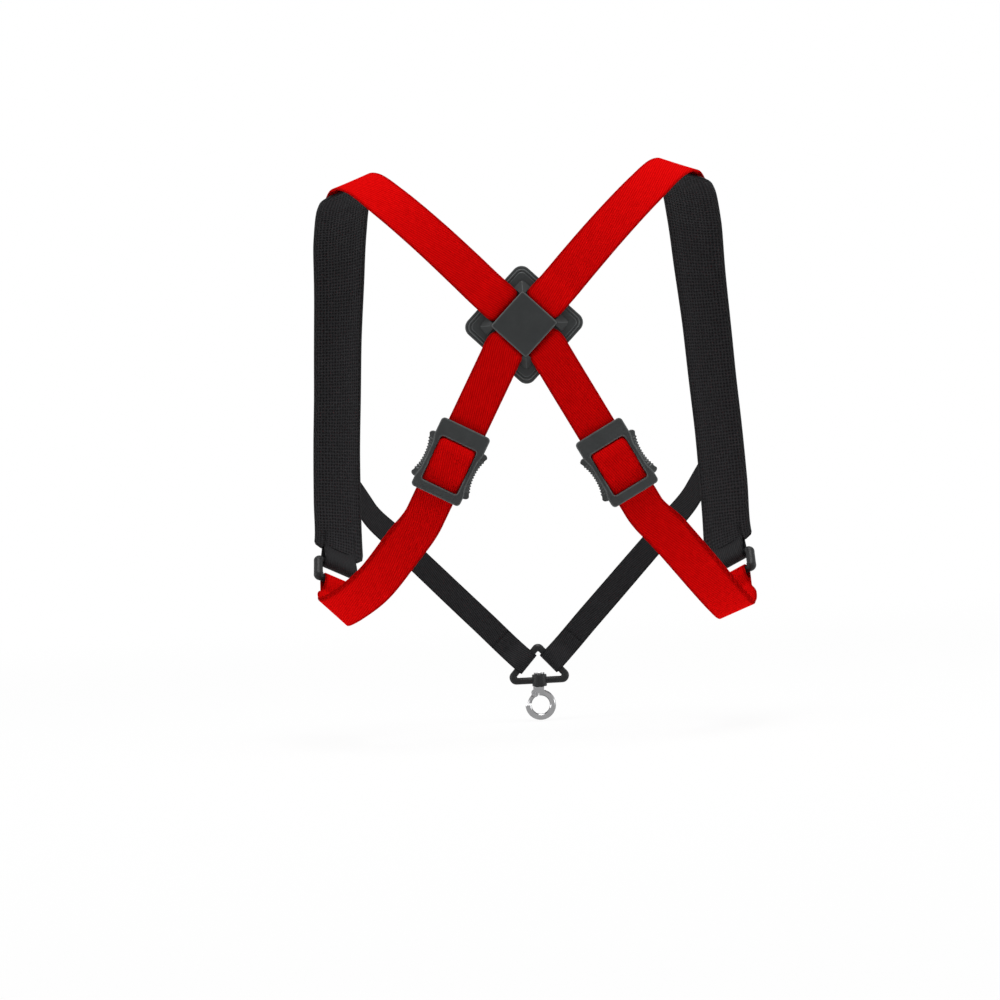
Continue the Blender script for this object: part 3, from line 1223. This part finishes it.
def straight_run(start, end, way, out, count):
    """Evenly spaced frames on a straight line."""
    points = start + (end - start) * np.linspace(0, 1, count)[:, None]
    return points, np.tile(way, (count, 1)), np.tile(out, (count, 1)), np.ones(count)


def bar_loop_run(side):
    """Up to the bar, round it, and back under itself. Returns the upper layer and the whole run."""
    origin, _, up, out = adjuster_axes(side)
    tail = straight_run(origin - up * OVERLAP - out * LAYER, origin - out * LAYER, up, out, TAIL_STEPS)
    turn = half_turn(origin + out * BAR_MID, up, out, BAR_WRAP)
    under = turned_over(under_layer(tail, 2 * BAR_WRAP))
    return tail, joined(tail, turn, [values[1:] for values in under])


def window_run(side):
    """The hump in the window: height = hump * sin(pi * u^lean)^power, where u runs from a little over 0 at
    the top edge to 1 before the bottom, with a quick dip at the top edge. The width share rounds the two
    upper corners."""
    origin, _, up, out = adjuster_axes(side)
    half = (ADJ_LEN - ADJ_TOP - ADJ_BOTTOM) / 2
    t = np.linspace(0, 1, WINDOW_STEPS)**WINDOW_CROWDING
    down = (2 * half - WINDOW_TOP - WINDOW_GAP) * t
    y = WINDOW_MID + half - WINDOW_TOP - down
    u = HUMP_FROM + (1 - HUMP_FROM) * np.minimum(t / HUMP_TO, 1)
    hump = HUMP * np.maximum(np.sin(math.pi * u**HUMP_LEAN), 0)**HUMP_POWER
    dip = WINDOW_DIP * np.maximum(1 - down / WINDOW_DIP, 0)**2
    z = STRAP_T / 2 + FIT + WINDOW_T / 2 + hump - dip
    lost = WINDOW_R - np.sqrt(WINDOW_R**2 - np.maximum(WINDOW_R - down, 0)**2)
    points = origin + up * y[:, None] + out * z[:, None]
    way = unit(np.gradient(points, axis=0))
    return points, way, square_to(np.tile(out, (len(t), 1)), way), 1 - 2 * lost / WINDOW_W


for side in (LEFT, RIGHT):
    name = SIDE_NAME[side]
    tail, run = bar_loop_run(side)
    part, length = webbing_part(run, STRAP_W)
    loop = on_body(make_piece(name + "_bar_loop_webbing", [part], [RED]), name + "_slider", "red_webbing",
        name + "_bar_loop")
    part, rise = webbing_part(window_run(side), WINDOW_W, WINDOW_T)
    hump = on_body(make_piece(name + "_window_webbing", [part], [RED]), name + "_slider", "red_webbing")
print("sewn loop", round(length), "mm, window webbing", round(rise), "mm")

# %% [markdown]
# ## Strap loops
# A strap loop is a round bar bent to a rectangle, thicker where it turns and at its sides. A path
# with rounded corners carries a circle of changing radius. A beveled curve could do that too, but a
# grid gives the rim value and a closed mesh at once.

# %% Bent bars
KNUCKLE, BAR_PALE = 0.5, 0.05
BEND_R, BEND_STEP, BEND_LEAST, SIDE_STEP = 3.4, 0.3, 8, 1.6


def rounded_path(corners, closed=True):
    """A polygon with round corners: each corner becomes an arc that touches both of its sides.
    Returns points and the share of bend, 1 in the middle of a corner."""
    c = np.asarray(corners, float)
    n = len(c)
    arcs, bends = [], []
    for i in range(n) if closed else range(1, n - 1):
        a, b = unit(c[i - 1] - c[i]), unit(c[(i + 1) % n] - c[i])
        half = math.acos(np.clip(a @ b, -1, 1)) / 2
        centre = c[i] + unit(a + b) * BEND_R / math.sin(half)
        reach = math.pi / 2 - half
        t = np.linspace(-reach, reach, max(BEND_LEAST, int(2 * reach * BEND_R / BEND_STEP)))
        x, y = -unit(a + b), unit(b - a)
        arcs.append(centre + BEND_R * (np.cos(t)[:, None] * x + np.sin(t)[:, None] * y))
        bends.append(np.cos(t / reach * math.pi / 2))
    line, bend = ([], []) if closed else ([c[:1]], [np.zeros(1)])
    for i, turn in enumerate(arcs):
        line.append(turn)
        bend.append(bends[i])
        if closed or i + 1 < len(arcs):
            a, b = turn[-1], arcs[(i + 1) % len(arcs)][0]
            count = max(2, int(np.linalg.norm(b - a) / SIDE_STEP))
            line.append(a + (b - a) * np.linspace(0, 1, count + 1)[1:-1, None])
            bend.append(np.zeros(count - 1))
    if not closed:
        line.append(c[-1:])
        bend.append(np.zeros(1))
    return np.vstack(line), np.concatenate(bend)


def bar_part(path, bend, radius, plane_normal, closed):
    """A round bar along a flat path: radius + knuckle * ease of the bend."""
    ahead = np.roll(path, -1, 0) - np.roll(path, 1, 0) if closed else np.gradient(path, axis=0)
    normal = np.tile(plane_normal, (len(path), 1))
    across = np.cross(unit(ahead), normal)
    return tube_part(path, normal, across, radius + KNUCKLE * ease(bend), closed, rim=BAR_PALE)


print("bars bend with a radius of", BEND_R, "mm")

# %% Strap loops
RECTANGLE = ((1, 1), (-1, 1), (-1, -1), (1, -1))
for side in (LEFT, RIGHT):
    middle, up, out = (to_side(v, side) for v in (LOOP_MID[side], LOOP_UP, LOOP_OUT))
    across = np.cross(up, out)
    corners = [middle + across * LOOP_HALF * x + up * LOOP_H * y for x, y in RECTANGLE]
    path, bend = rounded_path(corners)
    upright = np.abs(unit(np.roll(path, -1, 0) - np.roll(path, 1, 0)) @ up)
    radius = LOOP_BAR_R + (LOOP_SIDE_R - LOOP_BAR_R) * ease(upright)
    name = SIDE_NAME[side] + "_strap_loop"
    loop = make_piece(name + "_moulding", [bar_part(path, bend, radius, out, True)], [BAR_PLASTIC])
    on_body(loop, "harness", "black_plastic", name)
print("strap loops:", len(loop.data.polygons), "faces each")

# %% [markdown]
# ## Hook yoke
# The yoke is a bar bent to a triangle. The two chest straps pull on its slanting sides and the hook
# hangs from a boss in its level side. The bar stops inside the boss, which is a ring turned from a
# profile, so that the hook's stem has a free bore without a boolean cut. Its sizes follow from the
# width of the chest straps and their slant.

# %% Hook yoke
CHEST_W, YOKE_BAR_R, YOKE_RISE, YOKE_GAP = 20.0, 2.8, math.radians(42), 2.5
YOKE_MID = np.array([0, 237.0, -272])
YOKE_WRAP = YOKE_BAR_R + FIT + STRAP_T / 2
YOKE_IN = YOKE_WRAP + STRAP_T / 2 + FIT
BAR_AT = YOKE_IN + (CHEST_W / 2 + YOKE_GAP / 2) * math.tan(YOKE_RISE)
YOKE_LOW = (BAR_AT - YOKE_IN) * math.sin(YOKE_RISE) - CHEST_W / 2 * math.cos(YOKE_RISE)
CROSS_AT = YOKE_LOW - YOKE_GAP - YOKE_BAR_R
APEX_AT = BAR_AT / math.sin(YOKE_RISE)
CORNER_X = (BAR_AT - CROSS_AT * math.sin(YOKE_RISE)) / math.cos(YOKE_RISE)
BOSS_R, BOSS_H, BORE_R, BOSS_EDGE, BORE_EDGE, BOSS_PALE, BOSS_STEPS = 6.0, 10.0, 2.55, 0.9, 0.3, 0.2, 48
AHEAD, UPRIGHT = np.array([0, 1.0, 0]), np.array([0, 0, 1.0])


def turned_part(profile, centre, axis, rim):
    """A ring turned from a closed profile of (radius, height): x * r cos(a) + y * r sin(a) + axis * h."""
    a = np.linspace(0, TURN, BOSS_STEPS, endpoint=False)[:, None]
    r, h = np.array(profile).T
    x = square_to(np.array([1.0, 0.3, 0.2]), axis)
    y = np.cross(axis, x)
    round_it = (np.cos(a) * r)[..., None] * x + (np.sin(a) * r)[..., None] * y
    return closed_part(centre + round_it + (h + 0 * a)[..., None] * axis, loop=True, rim=rim)


def yoke_parts():
    """The bent bar with its gap inside the boss, and the boss."""
    inside = (BOSS_R + BORE_R) / 2
    flat = [(inside, CROSS_AT), (CORNER_X, CROSS_AT), (0, APEX_AT), (-CORNER_X, CROSS_AT),
        (-inside, CROSS_AT)]
    path, bend = rounded_path([YOKE_MID + np.array([x, 0, y]) for x, y in flat], closed=False)
    bar = bar_part(path, bend, YOKE_BAR_R, AHEAD, False)
    half = BOSS_H / 2
    profile = [(BOSS_R - i, d - half) for i, d in arc(BOSS_EDGE)[::-1]]
    profile += [(BOSS_R - i, half - d) for i, d in arc(BOSS_EDGE)]
    profile += [(BORE_R + BORE_EDGE, half), (BORE_R, half - BORE_EDGE), (BORE_R, BORE_EDGE - half),
        (BORE_R + BORE_EDGE, -half)]
    return [bar, turned_part(profile, YOKE_MID + UPRIGHT * CROSS_AT, UPRIGHT, BOSS_PALE)]


yoke = make_piece("hook_yoke_moulding", yoke_parts(), [BAR_PLASTIC])
on_body(yoke, "harness", "black_plastic", "hook_yoke")
print("yoke:", round(2 * CORNER_X, 1), "mm wide")

# %% [markdown]
# ## Tabs and chest straps
# Black webbing holds each pad to its strap loop, and leads from each pad to the yoke. The tab is
# folded round the loop's upper bar and both of its ends go into the pad. The chest strap is sewn on
# the pad at a slant, runs free to the yoke, turns round its bar and is sewn back on itself. Each is
# one run put together from short stretches, so that the same function that makes the straps can
# make it.

# %% Stretches of a run
def sunk(run, depth):
    """A run moved inward from its face."""
    return run[0] - run[2] * depth, run[1], run[2], run[3]


def first_stretch(run, length):
    """The start of a run, up to a length along it."""
    keep = length_along(run[0]) <= length
    return tuple(v[keep] for v in run[:4])


def last_stretch(run, length):
    """The end of a run, of a given length."""
    s = length_along(run[0])
    keep = s >= s[-1] - length
    return tuple(v[keep] for v in run[:4])


print("helpers for stretches are ready")

# %% Tab route
TAB_STEPS = 10


def tab_run(side):
    """From inside the pad down to the bar, round it, and back up into the pad."""
    up, out = to_side(LOOP_UP, side), to_side(LOOP_OUT, side)
    top = to_side(LOOP_MID[side], side) + up * LOOP_H
    inside = first_stretch(sunk(cut(LEVEL_RUNS[side], 0, 1), PAD_DROP), TAB_IN)
    t = np.linspace(0, 1, TAB_STEPS)[1:-1]
    free = top + up * (TAB_OUT * (1 - t))[:, None]
    spread = TAB_MID + (LOOP_WRAP - TAB_MID) * ease(t)
    ones = np.ones((len(t), 1))
    face = sunk(inside, -TAB_MID)
    down = (face[0][::-1], -face[1][::-1], face[2][::-1], face[3])
    lead = (free + out * spread[:, None], -up * ones, out * ones, ones[:, 0])
    turn = half_turn(top, -up, out, LOOP_WRAP)
    back = (free[::-1] - out * spread[::-1, None], up * ones, -out * ones, ones[:, 0])
    rear = sunk(inside, TAB_MID)
    return joined(down, lead, turn, back, (rear[0], rear[1], -rear[2], rear[3]))


print("tab:", len(tab_run(RIGHT)[0]), "frames")

# %% Chest strap route
CHEST_BACK, CHEST_PAST, CHEST_LIFT, CHEST_CALM = 8.0, 12.0, 0.3, 3
CHEST_KNOTS = [((112, 218, -155), (0.5, 0.86, 0)), ((79, 233, -191), (0.3, 0.95, 0)),
    ((45, 240, -227), (0.1, 0.99, 0))]


def sewn_run(side):
    """The slanting stretch on the pad: the place across the pad changes evenly along two knots of its run."""
    p, way, out, _ = cut(LEVEL_RUNS[side], 1, 2)
    n = len(p) - 1
    i = np.arange(n + 1)
    w = (((PAD_W / 2 + CHEST_PAST) * (n - i) - CHEST_BACK * i) / n * side)[:, None]
    x = np.cross(way, out)
    nxt, prev = np.minimum(i + 1, n), np.maximum(i - 1, 0)
    up = unit(np.cross(x, (p[nxt] + x[nxt] * w) - (p[prev] + x[prev] * w)))
    p = (p + x * w + up * CHEST_LIFT)[::-1]
    way = unit(p[nxt] - p[prev])
    return p, way, square_to(up[::-1], way), np.ones(n + 1)


def chest_run(side):
    """The sewn stretch and the free stretch to the yoke's bar."""
    sewn = sewn_run(side)
    level = np.array([math.cos(YOKE_RISE), 0, math.sin(YOKE_RISE)])
    knots = [(sewn[0][-1], sewn[2][-1])]
    knots += [(to_side(p, side), to_side(n, side)) for p, n in CHEST_KNOTS]
    knots.append((YOKE_MID + to_side(level * BAR_AT, side) + AHEAD * YOKE_WRAP, AHEAD))
    free = follow(knots, sewn[1][-1], to_side(-level, side))
    return calm(joined(tuple(v[:-1] for v in sewn), free[:4]), CHEST_CALM)


print("chest strap:", len(chest_run(RIGHT)[0]), "frames")

# %% Tabs and chest straps
CHEST_RUNS = {}
for side in (LEFT, RIGHT):
    name = SIDE_NAME[side]
    part, tab_length = webbing_part(tab_run(side), STRAP_W)
    tab = on_body(make_piece(name + "_pad_tab_webbing", [part], [BLACK]), "harness", "black_webbing",
        name + "_pad_tab")
    run = CHEST_RUNS[side] = chest_run(side)
    turn = half_turn(run[0][-1] - AHEAD * YOKE_WRAP, run[1][-1], AHEAD, YOKE_WRAP)
    end = turned_over(under_layer(last_stretch(run, OVERLAP), 2 * YOKE_WRAP))
    part, chest_length = webbing_part(joined(run, turn, end), CHEST_W)
    chest = on_body(make_piece(name + "_chest_webbing", [part], [BLACK]), "harness", "black_webbing",
        name + "_chest_strap")
print("tab", round(tab_length), "mm, chest strap", round(chest_length), "mm")

# %% [markdown]
# ## Pads
# Each pad is two fabrics sewn together round a foam core. Its form is a closed grid: thin at the
# hem, full in the middle, with round corners at the shoulder. A smoothed box could start it too,
# but the grid follows the same run as the strap above it.

# %% Pad form
PAD_ROWS, PAD_COLS = 124, 29
HEM_HALF, START_HALF = 0.95, 3.15
TOP_CORNER, LOW_CORNER, PUFF_REACH = 14.0, 5.0, 9.0
TAB_OPEN, TAB_EDGE = 12.0, 3.0
PIN_PAST, PINNED_LOW, PINNED_TOP = 0.5, 8, 2


def pad_rows(side):
    """Evenly spaced frames along the middle of a pad, with the length along and the half width there."""
    run = sunk(cut(LEVEL_RUNS[side], 0, PAD_KNOT), PAD_DROP)
    s = length_along(run[0])
    at = np.linspace(0, s[-1], PAD_ROWS)
    p, way, out = (np.stack([np.interp(at, s, v[:, c]) for c in range(3)], 1) for v in run[:3])
    way = unit(way)
    lost = [r - np.sqrt(np.maximum(r**2 - np.maximum(r - d, 0)**2, 0)) for r, d in
        ((TOP_CORNER, s[-1] - at), (LOW_CORNER, at))]
    return p, way, square_to(out, way), at, PAD_W / 2 - lost[0] - lost[1]


def pad_form(side):
    """Half thickness = hem + (start - hem) * ease of the distance from the edge. At the tab the end stays
    thick. Returns the grid of points, the map and the pinned points."""
    p, way, out, at, half = pad_rows(side)
    c = np.linspace(1, -1, PAD_COLS)
    x = half[:, None] * c
    near_tab = TAB_OPEN * ease((STRAP_W / 2 + TAB_EDGE - np.abs(x)) / TAB_EDGE)
    edge = np.minimum(np.minimum(half[:, None] - np.abs(x), (at[-1] - at)[:, None]), at[:, None] + near_tab)
    full = ease((edge - PAD_HEM) / PUFF_REACH)
    h = HEM_HALF + (START_HALF - HEM_HALF) * full
    across = np.cross(way, out)[:, None] * x[..., None]
    face = p[:, None] + across + out[:, None] * h[..., None]
    back = p[:, None] + across - out[:, None] * h[..., None]
    grid = np.concatenate([face, back[:, ::-1]], 1)
    u = np.concatenate([x, x[:, ::-1]], 1)
    u = np.concatenate([u, u[:, :1]], 1)
    uv = np.stack([u, np.broadcast_to(at[:, None], u.shape)], -1) * MM
    hem = edge < PAD_HEM + PIN_PAST
    pinned = np.concatenate([hem, hem[:, ::-1]], 1)
    pinned[:PINNED_LOW] = True
    pinned[-PINNED_TOP:] = True
    return grid, uv, pinned


print("pad:", round(pad_rows(RIGHT)[3][-1]), "mm long")

# %% [markdown]
# ## Swelling
# A short cloth simulation with air pressure lets the fabric swell between the pinned hems, as
# stuffing does. Each point's way is capped, so that the pad stays under its straps. Sculpting could
# give the same form, but a simulation can run again after every change.

# %% Swelling
SWELL_CAP, SWELL_FRAMES, AIR, STRETCH, BENDING, CLOTH_MASS, CLOTH_QUALITY = 0.6, 20, 4.0, 20, 0.6, 0.2, 6


def swell(piece, pinned, out):
    """Cloth with air pressure, pinned at the hem. Each point then moves along its outward direction only,
    and by the cap at most. Returns the largest move kept and the largest move found."""
    start = np.empty(3 * len(piece.data.vertices))
    piece.data.vertices.foreach_get("co", start)
    group = piece.vertex_groups.new(name="hem")
    group.add(np.flatnonzero(pinned).tolist(), 1.0, "REPLACE")
    cloth = piece.modifiers.new("swell", "CLOTH")
    given = cloth.settings
    given.quality, given.mass = CLOTH_QUALITY, CLOTH_MASS
    given.use_pressure, given.uniform_pressure_force = True, AIR
    given.tension_stiffness = given.compression_stiffness = STRETCH
    given.bending_stiffness = BENDING
    given.effector_weights.gravity = 0
    given.vertex_group_mass = "hem"
    cloth.collision_settings.use_collision = False
    cloth.point_cache.frame_start, cloth.point_cache.frame_end = 1, SWELL_FRAMES
    for number in range(1, SWELL_FRAMES + 1):
        scene.frame_set(number)
    solved = piece.evaluated_get(bpy.context.evaluated_depsgraph_get()).to_mesh()
    end = np.empty_like(start)
    solved.vertices.foreach_get("co", end)
    piece.modifiers.remove(cloth)
    scene.frame_set(1)
    start, end = start.reshape(-1, 3) / MM, end.reshape(-1, 3) / MM
    move = end - start
    size = np.linalg.norm(move, axis=1, keepdims=True)
    move *= np.minimum(1, SWELL_CAP / np.maximum(size, 1e-9))
    move = out * np.sum(move * out, axis=1, keepdims=True)
    piece.data.vertices.foreach_set("co", ((start + move) * MM).ravel())
    piece.data.update()
    piece.vertex_groups.remove(group)
    return float(np.abs(move).max()), float(size.max())


def pad_piece(side):
    """One pad with its two fabrics, swollen unless the run is a quick one."""
    name = SIDE_NAME[side] + "_pad"
    grid, uv, pinned = pad_form(side)
    piece = make_piece(name + "_cushion", [closed_part(grid, map_uv=uv)], [FACE_FABRIC, LINING_FABRIC], 60)
    facing = np.tile(np.arange(2 * PAD_COLS) >= PAD_COLS, (PAD_ROWS - 1, 1)).astype(np.int32).ravel()
    kinds = np.concatenate([facing, np.zeros(len(piece.data.polygons) - len(facing), np.int32)])
    piece.data.polygons.foreach_set("material_index", kinds)
    out = np.repeat(pad_rows(side)[2], 2 * PAD_COLS, axis=0)
    out, pinned = np.vstack([out, out[[0, -1]]]), np.append(pinned, [True, True])
    print(name, "swelled by", [round(v, 2) for v in swell(piece, pinned, out)], "mm")
    smooth = piece.modifiers.new("smooth", "SUBSURF")
    smooth.levels = smooth.render_levels = 1
    on_body(piece, "harness", "pad_fabric", name + "_face", name + "_core", name + "_lining")


print("cushions swell by", SWELL_CAP, "mm at most")

# %% [markdown]
# ## Bindings
# A tape is folded over the hem of each pad. It is an oval carried round the pad's edge, and it
# stops on both sides of the tab. A bevelled curve would do as well, but the rows of the pad already
# give the path.

# %% Pads and bindings
BINDING_R, BINDING_FLAT, BINDING_GAP, BINDING_STEPS = 1.25, 1.25, 1.2, 12
LOW_STEPS, TOP_STEPS = 3, 12


def binding_piece(side):
    """The rounded tape over a pad's edge: an oval carried round the hem, from one side of the tab to the
    other."""
    p, way, out, _, half = pad_rows(side)
    across = np.cross(way, out)
    right, left = p + across * half[:, None], p - across * half[:, None]
    end = p[-1] + across[-1] * half[-1] * np.linspace(1, -1, TOP_STEPS + 2)[1:-1, None]
    low = across[0] * np.linspace(STRAP_W / 2 + BINDING_GAP, half[0], LOW_STEPS + 1)[:-1, None]
    path = np.vstack([p[0] + low, right, end, left[::-1], (p[0] - low)[::-1]])
    first, last = np.tile(out[0], (LOW_STEPS, 1)), np.tile(out[-1], (TOP_STEPS, 1))
    way = unit(np.gradient(path, axis=0))
    face = square_to(np.vstack([first, out, last, out[::-1], first]), way)
    across = np.cross(way, face) * BINDING_FLAT
    part = tube_part(path, face, across, BINDING_R, False, round_steps=BINDING_STEPS)
    piece = make_piece(SIDE_NAME[side] + "_pad_binding", [part], [BLACK], 60)
    on_body(piece, "harness", "pad_fabric")


for side in (LEFT, RIGHT):
    pad_piece(side)
    binding_piece(side)
print("pads:", PAD_ROWS * 2 * PAD_COLS, "points each")

# %% [markdown]
# ## Stitches
# Sewing is what holds the webbing. Each stitch is a short rounded thread, half sunk in the cloth. A
# picture of stitches would look flat from the side, so one shape is worked out and set at every
# place of a sewing line. The line is drawn on a strap by its length along and its place across.

# %% Thread
STITCH_LEN, STITCH_GAP, THREAD_R, THREAD_TIP = 2.4, 0.9, 0.32, 0.96
THREAD_RINGS, THREAD_SIDES = 5, 6


def stitch_part(points, way, out):
    """Threads with an oval length profile: radius times the root of 1 - u^2 along each stitch."""
    u = np.linspace(-THREAD_TIP, THREAD_TIP, THREAD_RINGS)
    a = np.linspace(0, TURN, THREAD_SIDES, endpoint=False)
    r = THREAD_R * np.sqrt(1 - u**2)[:, None]
    side = np.cross(way, out)
    grid = points[:, None, None] + way[:, None, None] * (u * STITCH_LEN / 2)[:, None, None] \
        + out[:, None, None] * (r * np.sin(a))[..., None] + side[:, None, None] * (r * np.cos(a))[..., None]
    one = closed_part(grid[0])
    count, size = len(points), len(one["points"])
    first = (np.arange(count) * size)[:, None, None]
    points = np.concatenate([grid.reshape(count, -1, 3), grid[:, [0, -1]].mean(2)], 1)
    return {"points": points.reshape(-1, 3), "quads": (one["quads"] + first).reshape(-1, 4),
        "fans": (one["fans"] + first).reshape(-1, 3), "uv": np.zeros((count * len(one["quads"]), 4, 2)),
        "rim": np.zeros(count * size)}


print("thread:", 2 * THREAD_R, "mm thick")

# %% Sewing lines
def sewn_line(run, corners, lift):
    """Stitches along a line of (length along, place across) corners on a run, lifted to its surface."""
    c = np.asarray(corners, float)
    far = length_along(c)
    t = np.arange(STITCH_LEN / 2, far[-1], STITCH_LEN + STITCH_GAP)
    s, x = np.interp(t, far, c[:, 0]), np.interp(t, far, c[:, 1])
    leg = np.clip(np.searchsorted(far, t) - 1, 0, len(c) - 2)
    turn = unit(c[leg + 1] - c[leg])
    at = length_along(run[0])
    p, way, out = (np.stack([np.interp(s, at, v[:, k]) for k in range(3)], 1) for v in run[:3])
    way, out = unit(way), square_to(out, unit(way))
    side = np.cross(way, out)
    return stitch_part(p + side * x[:, None] + out * lift, way * turn[:, :1] + side * turn[:, 1:], out)


def box(s0, s1, half):
    """Corners of a sewn box with a cross in it, as two lines."""
    return ([(s0, -half), (s1, -half), (s1, half), (s0, half), (s0, -half), (s1, half)],
        [(s0, half), (s1, -half)])


def sewing_piece(name, parts, body, finish, slot):
    """All stitches of one colour on one body."""
    on_body(make_piece(name, parts, [finish], 60), body, slot)


print("a stitch every", round(STITCH_LEN + STITCH_GAP, 1), "mm")

# %% Stitches
ON_STRAP, ON_HEM = STRAP_T / 2, HEM_HALF + 0.1
STRAP_BOX, CHEST_BOX = (3, 24, STRAP_W / 2 - 3), (3, 20, CHEST_W / 2 - 2.5)
CHEST_ROWS, CHEST_ROW_HALF, LOOP_ROWS, LOOP_ROW_HALF = (8, 11, 22, 25), 7.5, (3, 6), 11
HEM_IN, HEM_FROM, HEM_TO = 2.6, 6, 5
for side in (LEFT, RIGHT):
    name = SIDE_NAME[side]
    strap_end = cut(RUNS[side], SEWN_KNOT, PAD_KNOT + 1)
    red = [sewn_line(strap_end, line, ON_STRAP) for line in box(*STRAP_BOX)]
    sewing_piece(name + "_strap_stitches", red, "harness", RED_THREAD, "red_webbing")
    chest = CHEST_RUNS[side]
    black = [sewn_line(chest, line, ON_STRAP) for line in box(*CHEST_BOX)]
    total = length_along(chest[0])[-1]
    black += [sewn_line(chest, [(total - s, -CHEST_ROW_HALF), (total - s, CHEST_ROW_HALF)], ON_STRAP)
        for s in CHEST_ROWS]
    *middle, at, half = pad_rows(side)
    keep = (at > HEM_FROM) & (at < at[-1] - HEM_TO)
    black += [sewn_line(middle, np.stack([at[keep], sign * (half[keep] - HEM_IN)], 1), ON_HEM)
        for sign in (LEFT, RIGHT)]
    sewing_piece(name + "_pad_stitches", black, "harness", BLACK_THREAD, "black_webbing")
    points, way, out = under_layer(bar_loop_run(side)[0], 2 * BAR_WRAP)[:3]
    rows = [sewn_line((points, way, -out), [(s, -LOOP_ROW_HALF), (s, LOOP_ROW_HALF)], ON_STRAP)
        for s in LOOP_ROWS]
    sewing_piece(name + "_bar_loop_stitches", rows, name + "_slider", RED_THREAD, "red_webbing")

# %% [markdown]
# ## Snap hook
# The hook, its gate, pin, washer and spring are hard steel, and their solids are right. Working
# them out again would gain nothing, so a copy of each solid is merged, its flat triangles are
# joined to whole faces, and a fine bevel rounds its edges so that they catch the light.

# %% Snap hook
HOOK_EDGE = {"snap_hook": 0.45, "hook_gate": 0.3, "swivel_washer": 0.25, "gate_pin": 0.2, "gate_spring": 0.0}
MERGE_WITHIN, FLAT_WITHIN, SHARP_FROM, EDGE_STEPS = 1e-6, math.radians(0.5), math.radians(35), 2


def softened(node, body, edge):
    """A merged copy of a solid with its edges rounded, in the solid's place."""
    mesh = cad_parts[node].data.copy()
    mesh.name = node + "_steel"
    form = bmesh.new()
    form.from_mesh(mesh)
    bmesh.ops.remove_doubles(form, verts=form.verts, dist=MERGE_WITHIN)
    bmesh.ops.dissolve_limit(form, angle_limit=FLAT_WITHIN, verts=form.verts, edges=form.edges)
    form.to_mesh(mesh)
    form.free()
    mesh.materials.clear()
    mesh.materials.append(STEEL)
    mesh.polygons.foreach_set("use_smooth", np.ones(len(mesh.polygons), bool))
    mesh.set_sharp_from_angle(angle=SHARP_FROM)
    piece = bpy.data.objects.new(node + "_steel", mesh)
    scene.collection.objects.link(piece)
    if edge:
        bevel = piece.modifiers.new("edge", "BEVEL")
        bevel.width, bevel.segments = edge * MM, EDGE_STEPS
        bevel.limit_method, bevel.angle_limit = "ANGLE", SHARP_FROM
    on_body(piece, body, "steel", node)


for node, edge in HOOK_EDGE.items():
    softened(node, "gate" if node == "hook_gate" else "hook", edge)
print("steel pieces:", len(HOOK_EDGE))
